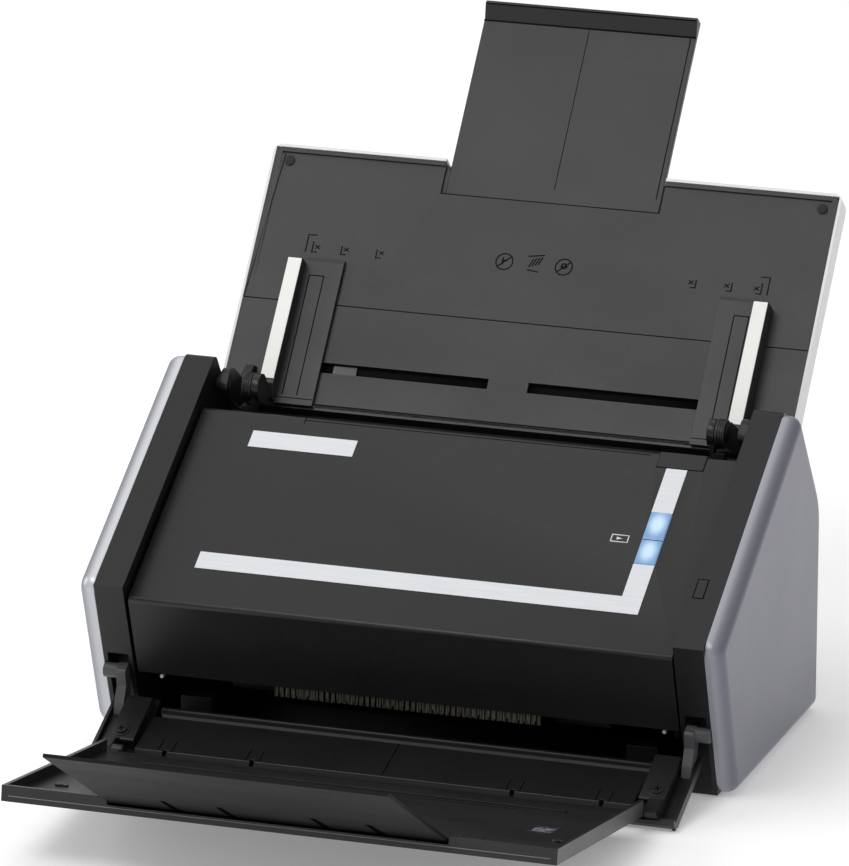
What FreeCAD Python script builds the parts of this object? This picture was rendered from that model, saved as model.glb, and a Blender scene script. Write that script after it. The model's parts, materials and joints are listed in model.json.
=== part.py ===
import FreeCAD, Part

import math
import os
import re

import Sketcher

# Sheet fed document scanner, opened ready for use: paper chute back, stacking
# cover forward.  +X is to the viewer's right, -Y is the paper exit side, +Z up.
# Lengths are in mm and angles in degrees.  Y distances are counted from the
# machine's rear face, which stands rear_y behind the origin.
SIZES = {
    # whole machine
    "rear_y": 129.027,
    "half_width": 146,
    "panel_thick": 8,
    "frame_inner": 124.4,
    "frame_web": 2.2,
    "ground_gap": 0.8,
    "depth_low": 130,
    "depth_top": 155.3,
    "front_top_z": 74.3,
    "crest_y": 35,
    "crest_z": 146.7,
    "bend_z": 96,
    "wall": 2.2,
    # datum lines: every tilted group has a point and a tilt about X
    "body_y": 0,
    "body_z": 0,
    "body_tilt": 0,
    "chute_y": 4.8,
    "chute_z": 135,
    "chute_tilt": 50.4,
    "cover_y": -152.3,
    "cover_z": 68.6,
    "cover_tilt": 31.05,
    "path_y": -140,
    "path_z": 20,
    "path_tilt": 36.4,
    "door_y": -141.5,
    "door_z": 31.5,
    "door_tilt": 24,
    "tray_y": -179.977,
    "tray_z": 9.006,
    "tray_tilt": -9,
    "flap_y": -304.019,
    "flap_z": 31.285,
    "flap_tilt": -30.5,
    "flap_seat_y": -126,
    "flap_seat_z": 2.6,
    # base and rear
    "flange_x": 116,
    "foot_radius": 6,
    "foot_x": 110,
    "lip_x": 112,
    "lip_y": 141.5,
    "lip_z": 16.2,
    # feed unit cover
    "unit_x": 123.2,
    "unit_front_z": 31.5,
    "unit_front_y": 139.7,
    "unit_length": 117,
    "unit_hinge_y": -135.5,
    "unit_hinge_z": 34.5,
    "unit_pin_radius": 2.5,
    "trim_thick": 0.3,
    "trim_low": 21.5,
    "trim_wide": 9.5,
    "trim_left": -99,
    "trim_right": 102.3,
    "trim_end": 105.7,
    "button_low": 50,
    "button_long": 29.8,
    "button_wide": 9.2,
    "button_proud": 0.9,
    "lever_x": 88,
    "lever_wide": 21,
    "lever_low": 106.2,
    "lever_long": 8.6,
    # paper path
    "path_half": 112,
    "feed_at": 88,
    "exit_at": 24,
    "shaft_drop": 7.15,
    "shaft_radius": 3,
    "tyre_radius": 7,
    "pick_radius": 9.8,
    "pick_drop": 10,
    "pinch_radius": 5.2,
    "pinch_rise": 5.35,
    "brake_radius": 7,
    "running_gap": 0.05,
    # gear train, module 1
    "gear_module": 1,
    "feed_teeth": 20,
    "idler_teeth": 44,
    "pick_teeth": 24,
    "pinion_teeth": 12,
    "gear_x": 131,
    "gear_wide": 5,
    "gear_backlash": 0.16,
    "pinion_angle": -70,
    "motor_radius": 14,
    # chute
    "chute_half": 133.4,
    "liner_half": 132,
    "chute_low": -21,
    "chute_high": 104,
    "liner_thick": 2.2,
    "chute_back": 9,
    "rim_rise": 1,
    "rim_wide": 1.5,
    "chute_corner": 4,
    "rim_start": 28,
    "slot_drop": 5,
    "pocket_low": 87.5,
    "extension_half": 50,
    "extension_low": 62,
    "extension_high": 184,
    "extension_thick": 2.6,
    "pivot_s": -25.9,
    "pivot_n": 27,
    "pivot_radius": 2.5,
    "arm_x": 117.8,
    "arm_wide": 4.4,
    # side guides
    "guide_in": 87.8,
    "guide_face": 105.4,
    "guide_out": 112,
    "guide_low": -22.4,
    "guide_high": 49.5,
    "guide_lift": 0.4,
    "guide_thick": 1.8,
    "fence_low_n": 9.4,
    "fence_high_n": 8.6,
    "strip_thick": 0.6,
    "hub_radius": 6.2,
    "hub_pin_radius": 2,
    "hub_x": 107.2,
    "rack_pinion_teeth": 16,
    "rack_y": -20,
    "rack_z": 84,
    "rack_tall": 6,
    "slider_y": -37.6,
    "slider_deep": 4.8,
    # stacking cover
    "door_half": 133.5,
    "door_skin": 15,
    "door_long": 46.8,
    "door_pin_radius": 3.3,
    "door_arm_x": 127,
    "ramp_half": 112.8,
    "hood_in": 114.5,
    "hood_out": 126,
    "hood_top": -7.4,
    "tray_half": 122,
    "tray_long": 130.3,
    "tray_low": -1.3,
    "tray_floor": 0.9,
    "tray_rim": 5.6,
    "tray_pin_radius": 1.6,
    "tray_pin_y": -44.3,
    "tray_pin_z": -4.9,
    "knuckle_x": 115.5,
    "knuckle_wide": 4.7,
    "flap_half": 74.3,
    "flap_long": 92.5,
    "flap_thick": 1.6,
    "flap_pin_radius": 1,
}

doc = FreeCAD.newDocument("scanner")
sheet = doc.addObject("Spreadsheet::Sheet", "dims")
for row, (word, amount) in enumerate(SIZES.items(), start=1):
    sheet.set(f"A{row}", word)
    sheet.set(f"B{row}", str(amount))
    sheet.setAlias(f"B{row}", word)
doc.recompute()

nodes = []


def bound(text):
    """An expression in which every size's name points at its cell."""
    return re.sub(r"[a-z]+(?:_[a-z]+)+|wall", lambda m: "dims." + m.group(0), str(text))


def bind(item, **sizes):
    for name, text in sizes.items():
        item.setExpression(name.replace("__", "."), bound(text))


def place(item, datum):
    """Puts a piece on a datum line: its point, and its tilt about X."""
    item.Placement = FreeCAD.Placement(FreeCAD.Vector(), FreeCAD.Rotation(FreeCAD.Vector(1, 0, 0), 1))
    bind(
        item,
        Placement__Base__y=f"rear_y + {datum}_y",
        Placement__Base__z=f"{datum}_z",
        Placement__Rotation__Angle=f"{datum}_tilt",
    )


def keep(item, label, datum="body"):
    """Names a finished sub-part, puts it on its datum and lists it for export."""
    if item.TypeId in ("Part::Box", "Part::Cylinder"):
        holder = doc.addObject("Part::Compound", "holder")
        holder.Links = [item]
        item = holder
    item.Label = label
    place(item, datum)
    nodes.append(item)
    return item


def across(side, low, high):
    """An X range on the right (1), or its mirror image on the left (-1)."""
    return (f"{low}", f"{high}") if side > 0 else (f"-({high})", f"-({low})")


def box(x, y, z):
    item = doc.addObject("Part::Box", "block")
    bind(item, Length=f"({x[1]}) - ({x[0]})", Width=f"({y[1]}) - ({y[0]})", Height=f"({z[1]}) - ({z[0]})")
    bind(item, Placement__Base__x=x[0], Placement__Base__y=y[0], Placement__Base__z=z[0])
    return item


def rod(x, y, z, radius):
    """A cylinder along X."""
    item = doc.addObject("Part::Cylinder", "rod")
    item.Placement = FreeCAD.Placement(FreeCAD.Vector(), FreeCAD.Rotation(FreeCAD.Vector(0, 1, 0), 90))
    bind(item, Radius=radius, Height=f"({x[1]}) - ({x[0]})")
    bind(item, Placement__Base__x=x[0], Placement__Base__y=y, Placement__Base__z=z)
    return item


def post(x, y, z, radius):
    """A cylinder along Z."""
    item = doc.addObject("Part::Cylinder", "post")
    bind(item, Radius=radius, Height=f"({z[1]}) - ({z[0]})")
    bind(item, Placement__Base__x=x, Placement__Base__y=y, Placement__Base__z=z[0])
    return item


def outline(body, role, points, low, high):
    """A closed sketch of straight lines, half way between low and high along its normal."""
    sketch = body.newObject("Sketcher::SketchObject", "outline")
    plane = [item for item in body.Origin.OriginFeatures if item.Role == role][0]
    sketch.AttachmentSupport = [(plane, "")]
    sketch.MapMode = "FlatFace"
    bind(sketch, AttachmentOffset__Base__z=f"(({low}) + ({high})) / 2")
    count = len(points)
    turns = [2 * math.pi * index / count for index in range(count)]
    start = [FreeCAD.Vector(20 * math.cos(turn), 20 * math.sin(turn), 0) for turn in turns]
    for index in range(count):
        sketch.addGeometry(Part.LineSegment(start[index], start[(index + 1) % count]), False)
    for index in range(count):
        sketch.addConstraint(Sketcher.Constraint("Coincident", index, 2, (index + 1) % count, 1))
    for index, (right, up) in enumerate(points):
        across_now, up_now = start[index].x, start[index].y
        for kind, place_now, text in (("DistanceX", across_now, right), ("DistanceY", up_now, up)):
            number = sketch.addConstraint(Sketcher.Constraint(kind, -1, 1, index, 1, place_now))
            sketch.setExpression(f"Constraints[{number}]", bound(text))
    return sketch


def solid(points, low, high, role="YZ_Plane"):
    """A padded outline: a (Y, Z) side view over an X range, or an (X, Y) plan over a Z range."""
    body = doc.addObject("PartDesign::Body", "body")
    sketch = outline(body, role, points, low, high)
    pad = body.newObject("PartDesign::Pad", "pad")
    pad.Profile = sketch
    pad.SideType = "Symmetric"
    bind(pad, Length=f"({high}) - ({low})")
    sketch.Visibility = False
    doc.recompute()
    return body


def hollow(body, points, low, high, role="YZ_Plane"):
    """Cuts a padded outline out of a body, and checks that it took material away."""
    before = body.Shape.Volume
    sketch = outline(body, role, points, low, high)
    pocket = body.newObject("PartDesign::Pocket", "pocket")
    pocket.Profile = sketch
    pocket.SideType = "Symmetric"
    bind(pocket, Length=f"({high}) - ({low})")
    doc.recompute()
    if body.Shape.Volume > before - 0.01:
        raise ValueError(f"a pocket in {body.Label} cuts nothing")
    return body


def rounded(body, corners):
    """Rounds the edges along X at the first outline's corners: {corner number: radius}."""
    lines = body.Group[0].Geometry
    for corner, radius in corners.items():
        point = lines[corner].StartPoint
        edges = []
        for number, edge in enumerate(body.Shape.Edges, start=1):
            ends = [vertex.Point for vertex in edge.Vertexes]
            if len(ends) == 2 and all(abs(p.y - point.x) + abs(p.z - point.y) < 0.001 for p in ends):
                edges.append(f"Edge{number}")
        base = body.Tip
        fillet = body.newObject("PartDesign::Fillet", "round")
        fillet.Base = (base, edges)
        bind(fillet, Radius=radius)
        doc.recompute()
    return body


def softened(body, x, radius):
    """Rounds the whole rim of the end face that lies at x."""
    edges = []
    for number, edge in enumerate(body.Shape.Edges, start=1):
        box_of = edge.BoundBox
        if abs(box_of.XMin - x) < 0.001 and abs(box_of.XMax - x) < 0.001:
            edges.append(f"Edge{number}")
    base = body.Tip
    fillet = body.newObject("PartDesign::Fillet", "soft_rim")
    fillet.Base = (base, edges)
    bind(fillet, Radius=radius)
    doc.recompute()
    return body


def joined(*items):
    fuse = doc.addObject("Part::MultiFuse", "joined")
    fuse.Shapes = list(items)
    fuse.Refine = True
    return fuse


def cut(base, *tools):
    result = doc.addObject("Part::Cut", "cut")
    result.Base = base
    result.Tool = tools[0] if len(tools) == 1 else joined(*tools)
    result.Refine = True
    return result


def on_path(along, off):
    """Y and Z, counted from the rear face and the desk, of a point on the paper path."""
    y = f"(path_y + ({along}) * cos(path_tilt) - ({off}) * sin(path_tilt))"
    z = f"(path_z + ({along}) * sin(path_tilt) + ({off}) * cos(path_tilt))"
    return y, z


def on_chute(along, off):
    y = f"(chute_y + ({along}) * cos(chute_tilt) - ({off}) * sin(chute_tilt))"
    z = f"(chute_z + ({along}) * sin(chute_tilt) + ({off}) * cos(chute_tilt))"
    return y, z


def size(word):
    return float(sheet.get(word))


SIDES = ((-1, "left"), (1, "right"))
IDLER_AT = "(feed_at + exit_at) / 2"
GEAR_SPAN = "gear_module * (idler_teeth + pinion_teeth) / 2"
MOTOR_AT = f"({IDLER_AT} + {GEAR_SPAN} * cos(pinion_angle))"
MOTOR_OFF = f"({GEAR_SPAN} * sin(pinion_angle) - shaft_drop)"
PICK_SPAN = "(gear_module * (feed_teeth + pick_teeth) / 2)"
PICK_AT = f"(feed_at + sqrt({PICK_SPAN} ^ 2 - (pick_drop - shaft_drop) ^ 2))"

# ---------------------------------------------------------------- side panels
# Silver outer covers: the machine's whole side view, hollow on the inside.
PROFILE = [
    ("0", "ground_gap"),
    ("-depth_low", "ground_gap"),
    ("-depth_top", "front_top_z"),
    ("-crest_y", "crest_z"),
    ("0", "bend_z"),
]


def side_panel(side, name):
    low, high = across(side, "half_width - panel_thick", "half_width")
    panel = solid(PROFILE, low, high)
    rounded(panel, {0: 4, 1: 11, 2: 7.5, 3: 6.5, 4: 30})
    softened(panel, side * size("half_width"), 6)
    low, high = across(side, "half_width - panel_thick", "half_width - 2.6")
    hollow(
        panel,
        [
            ("-6", "ground_gap + 6"),
            ("9 - depth_low", "ground_gap + 6"),
            ("9 - depth_top", "front_top_z - 2"),
            ("-crest_y - 5", "crest_z - 10"),
            ("-6", "bend_z - 8"),
        ],
        low,
        high,
    )
    keep(panel, f"side_panel_{name}")


# ----------------------------------------------------------------- end frames
# Black end frames that carry every shaft and hinge, open towards the panels.
def end_frame(side, name):
    low, high = across(side, "frame_inner", "half_width - panel_thick")
    frame = solid(PROFILE, low, high)
    rounded(frame, {3: 4, 4: 30})
    low, high = across(side, "frame_inner + frame_web", "half_width - panel_thick")
    hollow(
        frame,
        [
            ("-3", "ground_gap + 3"),
            ("-118", "ground_gap + 3"),
            ("-126", "14"),
            ("-128.6", "20"),
            ("-128.6", "46"),
            ("-147", "51"),
            ("4.2 - depth_top", "front_top_z - 1.4"),
            ("-crest_y - 1", "crest_z - 6.5"),
            ("-3", "bend_z - 2.5"),
        ],
        low,
        high,
    )
    low, high = across(side, "door_arm_x - 0.6", "half_width - panel_thick - 2")
    notch = [
        ("-170", "-5"),
        ("-131", "-5"),
        ("-131", "40"),
        ("-170", "40"),
    ]
    hollow(frame, notch, low, high)
    through = across(side, "frame_inner - 1", "half_width")
    outer_web = across(side, "half_width - panel_thick - 3", "half_width")
    inner_web = across(side, "frame_inner - 1", "frame_inner + frame_web + 1")
    shafts = [
        on_path("feed_at", "-shaft_drop"),
        on_path("exit_at", "-shaft_drop"),
        on_path(PICK_AT, "-pick_drop"),
    ]
    if side < 0:
        shafts.append(on_path(MOTOR_AT, MOTOR_OFF))
    bores = [rod(inner_web, y, z, "shaft_radius + running_gap") for y, z in shafts]
    bores.append(rod(outer_web, "door_y", "door_z", "door_pin_radius + running_gap"))
    hinge_hole = across(side, "frame_inner - 1", "door_arm_x")
    bores.append(rod(hinge_hole, "unit_hinge_y", "unit_hinge_z", "unit_pin_radius + running_gap"))
    stud_x = across(side, "arm_x - 0.8", "frame_inner + 1")
    studs = [rod(stud_x, *on_chute("pivot_s", "pivot_n"), "pivot_radius")]
    if side < 0:
        stud_x = ("-gear_x - gear_wide - 0.8", "-frame_inner - 1")
        studs.append(rod(stud_x, *on_path(IDLER_AT, "-shaft_drop"), "shaft_radius"))
    keep(joined(cut(frame, *bores), *studs), f"end_frame_{name}")


for side, name in SIDES:
    side_panel(side, name)
    end_frame(side, name)

# ------------------------------------------------------ base cover and rear cover
# The floor of the machine, with the lower lip of the paper exit and board posts.
base_plate = box(("-frame_inner", "frame_inner"), ("-129.5", "0"), ("ground_gap", "ground_gap + 2.5"))
lip = solid(
    [
        ("-118", "ground_gap"),
        ("-129.5", "ground_gap"),
        ("-lip_y", "lip_z - 2.5"),
        ("-lip_y", "lip_z"),
        ("2.5 - lip_y", "lip_z"),
        ("-127", "ground_gap + 2.5"),
        ("-118", "ground_gap + 2.5"),
    ],
    "-lip_x",
    "lip_x",
)
rounded(lip, {3: 1.2})
board_posts = [post(x, y, ("ground_gap + 1", "8"), 3) for x in (-70, 102) for y in (-68, -18)]
keep(joined(base_plate, lip, *board_posts), "base_cover")

# The rear wall: power inlet, data port, lock slot and a row of vents.
rear = solid(
    [
        ("0", "ground_gap + 2.5"),
        ("0", "bend_z"),
        ("-7", "bend_z + 10.1"),
        ("-9.4", "bend_z + 9"),
        ("-2.5", "bend_z - 1"),
        ("-2.5", "ground_gap + 2.5"),
    ],
    "-frame_inner",
    "frame_inner",
)
rounded(rear, {1: 12})
flange = solid(
    [
        on_chute("-22", "-8.8"),
        on_chute("-22", "-0.2"),
        on_chute("-23.2", "-0.2"),
        on_chute("-23.2", "-7.6"),
        ("-8", "bend_z + 9.6"),
        ("-5.6", "bend_z + 8.8"),
    ],
    "-flange_x",
    "flange_x",
)
wall_depth = ("-4", "1")
vents = [box((x, x + 3), wall_depth, ("62", "84")) for x in range(-105, -40, 6)]
power_hole = box(("-64.2", "-51.8"), wall_depth, ("9.6", "21.2"))
data_hole = box(("-36.4", "-23.6"), wall_depth, ("9.6", "21.2"))
lock_slot = box(("96", "103"), wall_depth, ("14", "17"))
keep(joined(cut(rear, power_hole, data_hole, lock_slot, *vents), flange), "rear_cover")

feet = [
    post(f"{side} * foot_x", y, ("0", "ground_gap"), "foot_radius") for side in (-1, 1) for y in (-16, -112)
]
keep(joined(*feet), "rubber_feet")

# ------------------------------------------------------- boards, ports and motor
main_board = box(("-76", "108"), ("-74", "-3"), ("8", "9.6"))
chips = [
    box(("-20", "0"), ("-60", "-40"), ("9.6", "11.6")),
    box(("20", "34"), ("-50", "-36"), ("9.6", "11.2")),
    box(("50", "58"), ("-64", "-44"), ("9.6", "14")),
    post("80", "-30", ("9.6", "20"), 5),
]
keep(joined(main_board, *chips), "main_board")

dc_inlet = cut(
    box(("-64", "-52"), ("-16", "0"), ("9.8", "21")),
    box(("-61.5", "-54.5"), ("-11", "1"), ("12", "19")),
)
keep(dc_inlet, "dc_inlet")

usb_port = cut(
    box(("-36.2", "-23.8"), ("-17", "0"), ("9.8", "21")),
    box(("-34.2", "-25.8"), ("-12", "1"), ("11.6", "19.4")),
)
keep(usb_port, "usb_port")

motor_y, motor_z = on_path(MOTOR_AT, MOTOR_OFF)
motor = joined(
    rod(("-frame_inner", "-84"), motor_y, motor_z, "motor_radius"),
    rod(("-84", "-81"), motor_y, motor_z, "5"),
)
motor_bore = rod(("-frame_inner - 1", "-100"), motor_y, motor_z, "shaft_radius + running_gap")
keep(cut(motor, motor_bore), "drive_motor")

# ------------------------------------------------------------- lower paper guide
# The sloping plate that the sheets slide on, with windows for rollers and glass.
guide_plate = box(("0.1 - frame_inner", "frame_inner - 0.1"), ("20", "155"), ("-0.8 - 1.6", "-0.8"))
tyre_x = (-86, -36, 12, 62)
tyre_wide = 24
windows = [box((x - 1, x + tyre_wide + 1), ("feed_at - 8", "feed_at + 8"), ("-4", "1")) for x in tyre_x]
windows += [box((x - 1, x + tyre_wide + 1), ("18", "exit_at + 8"), ("-4", "1")) for x in tyre_x]
windows.append(box(("-22", "22"), (f"{PICK_AT} - 8.5", f"{PICK_AT} + 8.5"), ("-4", "1")))
windows.append(box(("-path_half", "path_half"), ("51.8", "66.2"), ("-4", "1")))
for side, name in SIDES:
    windows.append(box(across(side, "26", "115"), ("124.2", "134.2"), ("-4", "1")))
lower_guide = cut(guide_plate, *windows)
keep(lower_guide, "lower_guide", "path")

keep(box(("0.2 - path_half", "path_half - 0.2"), ("52", "66"), ("-2.6", "-1")), "lower_glass", "path")
keep(box(("-path_half", "path_half"), ("48", "70"), ("-17.4", "-2.7")), "lower_sensor", "path")

# The cross bar that carries the guide racks and their pinion's post.
bar = box(("0.1 - frame_inner", "frame_inner - 0.1"), ("-30", "-10"), ("76", "78"))
bar_ways = [box((side * 70 - 46, side * 70 + 46), ("-40", "-27"), ("70", "80")) for side in (-1, 1)]
pinion_post = post("0", "rack_y", ("77", "rack_z + rack_tall + 1"), 2)
keep(joined(bar, pinion_post), "rack_bar")

# Two tabs under the exit that square the sheets' tails.
tabs = []
for side, name in SIDES:
    tabs.append(box(across(side, "95", "109"), ("-124.5", "-116.5"), ("ground_gap + 2.5", "17.4")))
keep(joined(*tabs), "exit_tabs")

# ------------------------------------------------------------------ feed unit
# The swing-open cover above the paper path: a shell with a straight front face.
unit = solid(
    [
        ("-unit_front_y", "unit_front_z"),
        ("cover_y", "cover_z"),
        ("cover_y + unit_length * cos(cover_tilt)", "cover_z + unit_length * sin(cover_tilt)"),
        ("-46", "98"),
        ("-52.5", "86.6"),
        ("-129", "30.3"),
    ],
    "-unit_x",
    "unit_x",
)
rounded(unit, {1: 2.5, 2: 3, 3: 1.5})
hollow(
    unit,
    [
        ("2.7 - unit_front_y", "unit_front_z + 1"),
        ("cover_y + 3.1", "cover_z - 1.2"),
        (
            "cover_y + (unit_length - 2.5) * cos(cover_tilt)",
            "cover_z + unit_length * sin(cover_tilt) - 4.2",
        ),
        ("-48.8", "98"),
        ("-56", "80"),
        ("-132", "16"),
    ],
    "-unit_x + wall",
    "unit_x - wall",
)
hollow(
    unit,
    [
        ("-68", "100"),
        ("-68", "70"),
        ("-40", "70"),
        ("-40", "100"),
    ],
    "-24",
    "24",
)


def on_cover(along, off):
    y = f"(cover_y + ({along}) * cos(cover_tilt) - ({off}) * sin(cover_tilt))"
    z = f"(cover_z + ({along}) * sin(cover_tilt) + ({off}) * cos(cover_tilt))"
    return y, z


def cover_hole(x, along):
    """A rectangular hole through the feed unit's sloping top."""
    corners = [on_cover(along[0], -6), on_cover(along[1], -6), on_cover(along[1], 2), on_cover(along[0], 2)]
    hollow(unit, corners, x[0], x[1])


BUTTON_X = ("trim_right - button_wide - 0.1", "trim_right - 0.1")
cover_hole(
    ("trim_right - button_wide - 0.3", "trim_right + 0.1"),
    ("button_low - 0.2", "button_low + button_long + 0.2"),
)
cover_hole(
    ("lever_x - 0.3", "lever_x + lever_wide + 0.3"),
    ("lever_low - 0.3", "lever_low + lever_long + 0.5"),
)
hinges = []
for side, name in SIDES:
    pin_x = across(side, "unit_x - wall", "door_arm_x - 0.8")
    hinges.append(rod(pin_x, "unit_hinge_y", "unit_hinge_z", "unit_pin_radius"))
    ear_x = across(side, "unit_x - wall - 2", "unit_x - wall")
    ear_y = ("unit_hinge_y - 1.3", "unit_hinge_y + 3.5")
    hinges.append(box(ear_x, ear_y, ("unit_hinge_z - 3", "unit_hinge_z + 3.5")))
keep(joined(unit, *hinges), "feed_cover")

# The feed unit's underside, with windows for its rollers and its glass.
under = box(("-unit_x + wall + 0.1", "unit_x - wall - 0.1"), ("14", "104"), ("1", "2.6"))
roller_windows = [box((x - 1, x + tyre_wide + 1), (f"{at} - 7", f"{at} + 7"), ("0", "4"))
                  for x in tyre_x for at in ("feed_at", "exit_at")]
glass_window = box(("-path_half", "path_half"), ("43.8", "58.2"), ("0", "4"))
keep(cut(under, glass_window, *roller_windows), "upper_guide", "path")
keep(box(("0.2 - path_half", "path_half - 0.2"), ("44", "58"), ("1.1", "2.7")), "upper_glass", "path")
keep(box(("-path_half", "path_half"), ("40", "62"), ("2.8", "17")), "upper_sensor", "path")

# Blank name plate and the L-shaped silver trim that frames the scan button.
keep(box(("-96.5", "-48"), ("94", "103.5"), ("0", "trim_thick")), "name_plate", "cover")
trim = solid(
    [
        ("trim_left", "trim_low"),
        ("trim_right", "trim_low"),
        ("trim_right", "trim_end"),
        ("trim_right - trim_wide", "trim_end"),
        ("trim_right - trim_wide", "trim_low + trim_wide"),
        ("trim_left", "trim_low + trim_wide"),
    ],
    "0",
    "trim_thick",
    "XY_Plane",
)
button_gap = box(
    ("trim_right - trim_wide - 1", "trim_right + 1"),
    ("button_low - 0.2", "button_low + button_long + 0.2"),
    ("-1", "1"),
)
keep(cut(trim, button_gap), "trim_strip", "cover")

button_span = ("button_low", "button_low + button_long")
keep(box(BUTTON_X, button_span, ("-2", "button_proud")), "scan_button", "cover")

lever = solid(
    [
        ("lever_low", "-2.2"),
        ("lever_low", "0.4"),
        ("lever_low + lever_long", "0.4"),
        ("lever_low + lever_long", "-2.2"),
    ],
    "lever_x",
    "lever_x + lever_wide",
)
rounded(lever, {1: 0.6})
barrel = rod(("lever_x", "lever_x + lever_wide"), "lever_low + 1.5", "-1.6", "1.4")
keep(joined(lever, barrel), "release_lever", "cover")

# Earthed brush that hangs at the exit and takes the static off each sheet.
brush_back = box(("-61.5", "61.5"), ("-135.9", "-134.4"), ("30.5", "36"))
tuft_x = [(f"{n} * 2.6 - 61.5", f"{n} * 2.6 - 59.9") for n in range(47)]
tufts = [box(x, ("-135.7", "-134.6"), ("25.6", "30.7")) for x in tuft_x]
keep(joined(brush_back, *tufts), "static_brush")


# ------------------------------------------------------------------- rollers
def gear_outline(teeth, phase, backlash, module=1.0, bore=0.0):
    """An involute spur gear's face, in (Y, Z), its first tooth pointing along phase."""
    pitch = module * teeth / 2
    base = pitch * math.cos(math.radians(20))
    tip = pitch + module * 0.95
    root = pitch - module * 1.2
    spread = math.tan(math.radians(20)) - math.radians(20)
    half = math.pi / (2 * teeth) - backlash / (4 * pitch) + spread
    steps = 5
    points = []
    for tooth in range(teeth):
        centre = phase + 2 * math.pi * tooth / teeth
        flank = []
        for step in range(steps + 1):
            reach = max(base, root) + (tip - max(base, root)) * step / steps
            turn = math.sqrt(max(reach * reach / (base * base) - 1, 0))
            flank.append((reach, half - (turn - math.atan(turn))))
        foot = [(root, flank[0][1])] if root < flank[0][0] - 0.01 else []
        for reach, off in foot + flank:
            points.append((reach, centre - off))
        for reach, off in reversed(foot + flank):
            points.append((reach, centre + off))
    ring = [FreeCAD.Vector(0, r * math.cos(a), r * math.sin(a)) for r, a in points]
    face = Part.Face(Part.makePolygon(ring + [ring[0]]))
    return face


def gear(name, centre, teeth, phase):
    """A gear on the left, at a centre given on the paper path, as a plain shape."""
    face = gear_outline(teeth, phase, size("gear_backlash"), size("gear_module"))
    blank = face.extrude(FreeCAD.Vector(size("gear_wide"), 0, 0))
    item = doc.addObject("Part::Feature", name)
    item.Shape = blank
    item.Placement = FreeCAD.Placement(
        FreeCAD.Vector(-size("gear_x") - size("gear_wide"), centre[0], centre[1]), FreeCAD.Rotation()
    )
    return item


def mesh_phase(own_teeth, own_phase, toward, next_teeth):
    """The phase that puts the next gear's teeth in this gear's gaps, in the direction toward."""
    share = (toward - own_phase) / (2 * math.pi / own_teeth)
    return toward + math.pi - (0.5 - share) * (2 * math.pi / next_teeth)


feed_teeth = int(size("feed_teeth"))
idler_teeth = int(size("idler_teeth"))
pick_teeth = int(size("pick_teeth"))
pinion_teeth = int(size("pinion_teeth"))
drop = -size("shaft_drop")
feed_centre = (size("feed_at"), drop)
exit_centre = (size("exit_at"), drop)
idler_centre = ((feed_centre[0] + exit_centre[0]) / 2, drop)
pick_span = (feed_teeth + pick_teeth) / 2 * size("gear_module")
pick_rise = size("pick_drop") - size("shaft_drop")
pick_centre = (feed_centre[0] + math.sqrt(pick_span**2 - pick_rise**2), -size("pick_drop"))
motor_turn = math.radians(size("pinion_angle"))
motor_span = (idler_teeth + pinion_teeth) / 2 * size("gear_module")
motor_centre = (
    idler_centre[0] + motor_span * math.cos(motor_turn),
    idler_centre[1] + motor_span * math.sin(motor_turn),
)
idler_phase = 0.0
feed_phase = mesh_phase(idler_teeth, idler_phase, 0.0, feed_teeth)
exit_phase = mesh_phase(idler_teeth, idler_phase, math.pi, feed_teeth)
pinion_phase = mesh_phase(idler_teeth, idler_phase, motor_turn, pinion_teeth)
pick_toward = math.atan2(pick_centre[1] - feed_centre[1], pick_centre[0] - feed_centre[0])
pick_phase = mesh_phase(feed_teeth, feed_phase, pick_toward, pick_teeth)

SHAFT = ("-gear_x - gear_wide - 0.8", "frame_inner + 2.2")


def driven_shaft(name, along, off, centre, teeth, phase):
    """A steel shaft through both end frames with its gear fixed on its left end."""
    shaft = rod(SHAFT, along, off, "shaft_radius")
    keep(joined(shaft, gear(f"{name}_gear", centre, teeth, phase)), name, "path")


def tyres(name, along, off, places, wide, radius):
    rings = []
    for x in places:
        ring = rod((x, x + wide), along, off, radius)
        bore = rod((x - 1, x + wide + 1), along, off, "shaft_radius")
        rings.append(cut(ring, bore))
    keep(joined(*rings) if len(rings) > 1 else rings[0], name, "path")


driven_shaft("feed_shaft", "feed_at", "-shaft_drop", feed_centre, feed_teeth, feed_phase)
tyres("feed_tyres", "feed_at", "-shaft_drop", tyre_x, tyre_wide, "tyre_radius")
driven_shaft("exit_shaft", "exit_at", "-shaft_drop", exit_centre, feed_teeth, exit_phase)
tyres("exit_tyres", "exit_at", "-shaft_drop", tyre_x, tyre_wide, "tyre_radius")
driven_shaft("pick_shaft", PICK_AT, "-pick_drop", pick_centre, pick_teeth, pick_phase)
tyres("pick_tyre", PICK_AT, "-pick_drop", (-20,), 40, "pick_radius")

idler_x = ("-gear_x - gear_wide - 1", "1 - gear_x")
idler_bore = rod(idler_x, IDLER_AT, "-shaft_drop", "shaft_radius + running_gap")
keep(
    cut(gear("idler_blank", idler_centre, idler_teeth, idler_phase), idler_bore),
    "idler_gear",
    "path",
)
motor_shaft = rod(("-gear_x - gear_wide", "-101"), MOTOR_AT, MOTOR_OFF, "shaft_radius")
keep(
    joined(motor_shaft, gear("pinion_blank", motor_centre, pinion_teeth, pinion_phase)),
    "motor_pinion",
    "path",
)


def idle_roller(name, along, rise, radius, places, wide):
    """A free roller of the feed unit: tyres on a thin steel spindle."""
    spindle = rod((f"{places[0]} - 3", f"{places[-1]} + {wide} + 3"), along, rise, 2)
    rings = [rod((x, x + wide), along, rise, radius) for x in places]
    keep(joined(spindle, *rings), name, "path")


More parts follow.
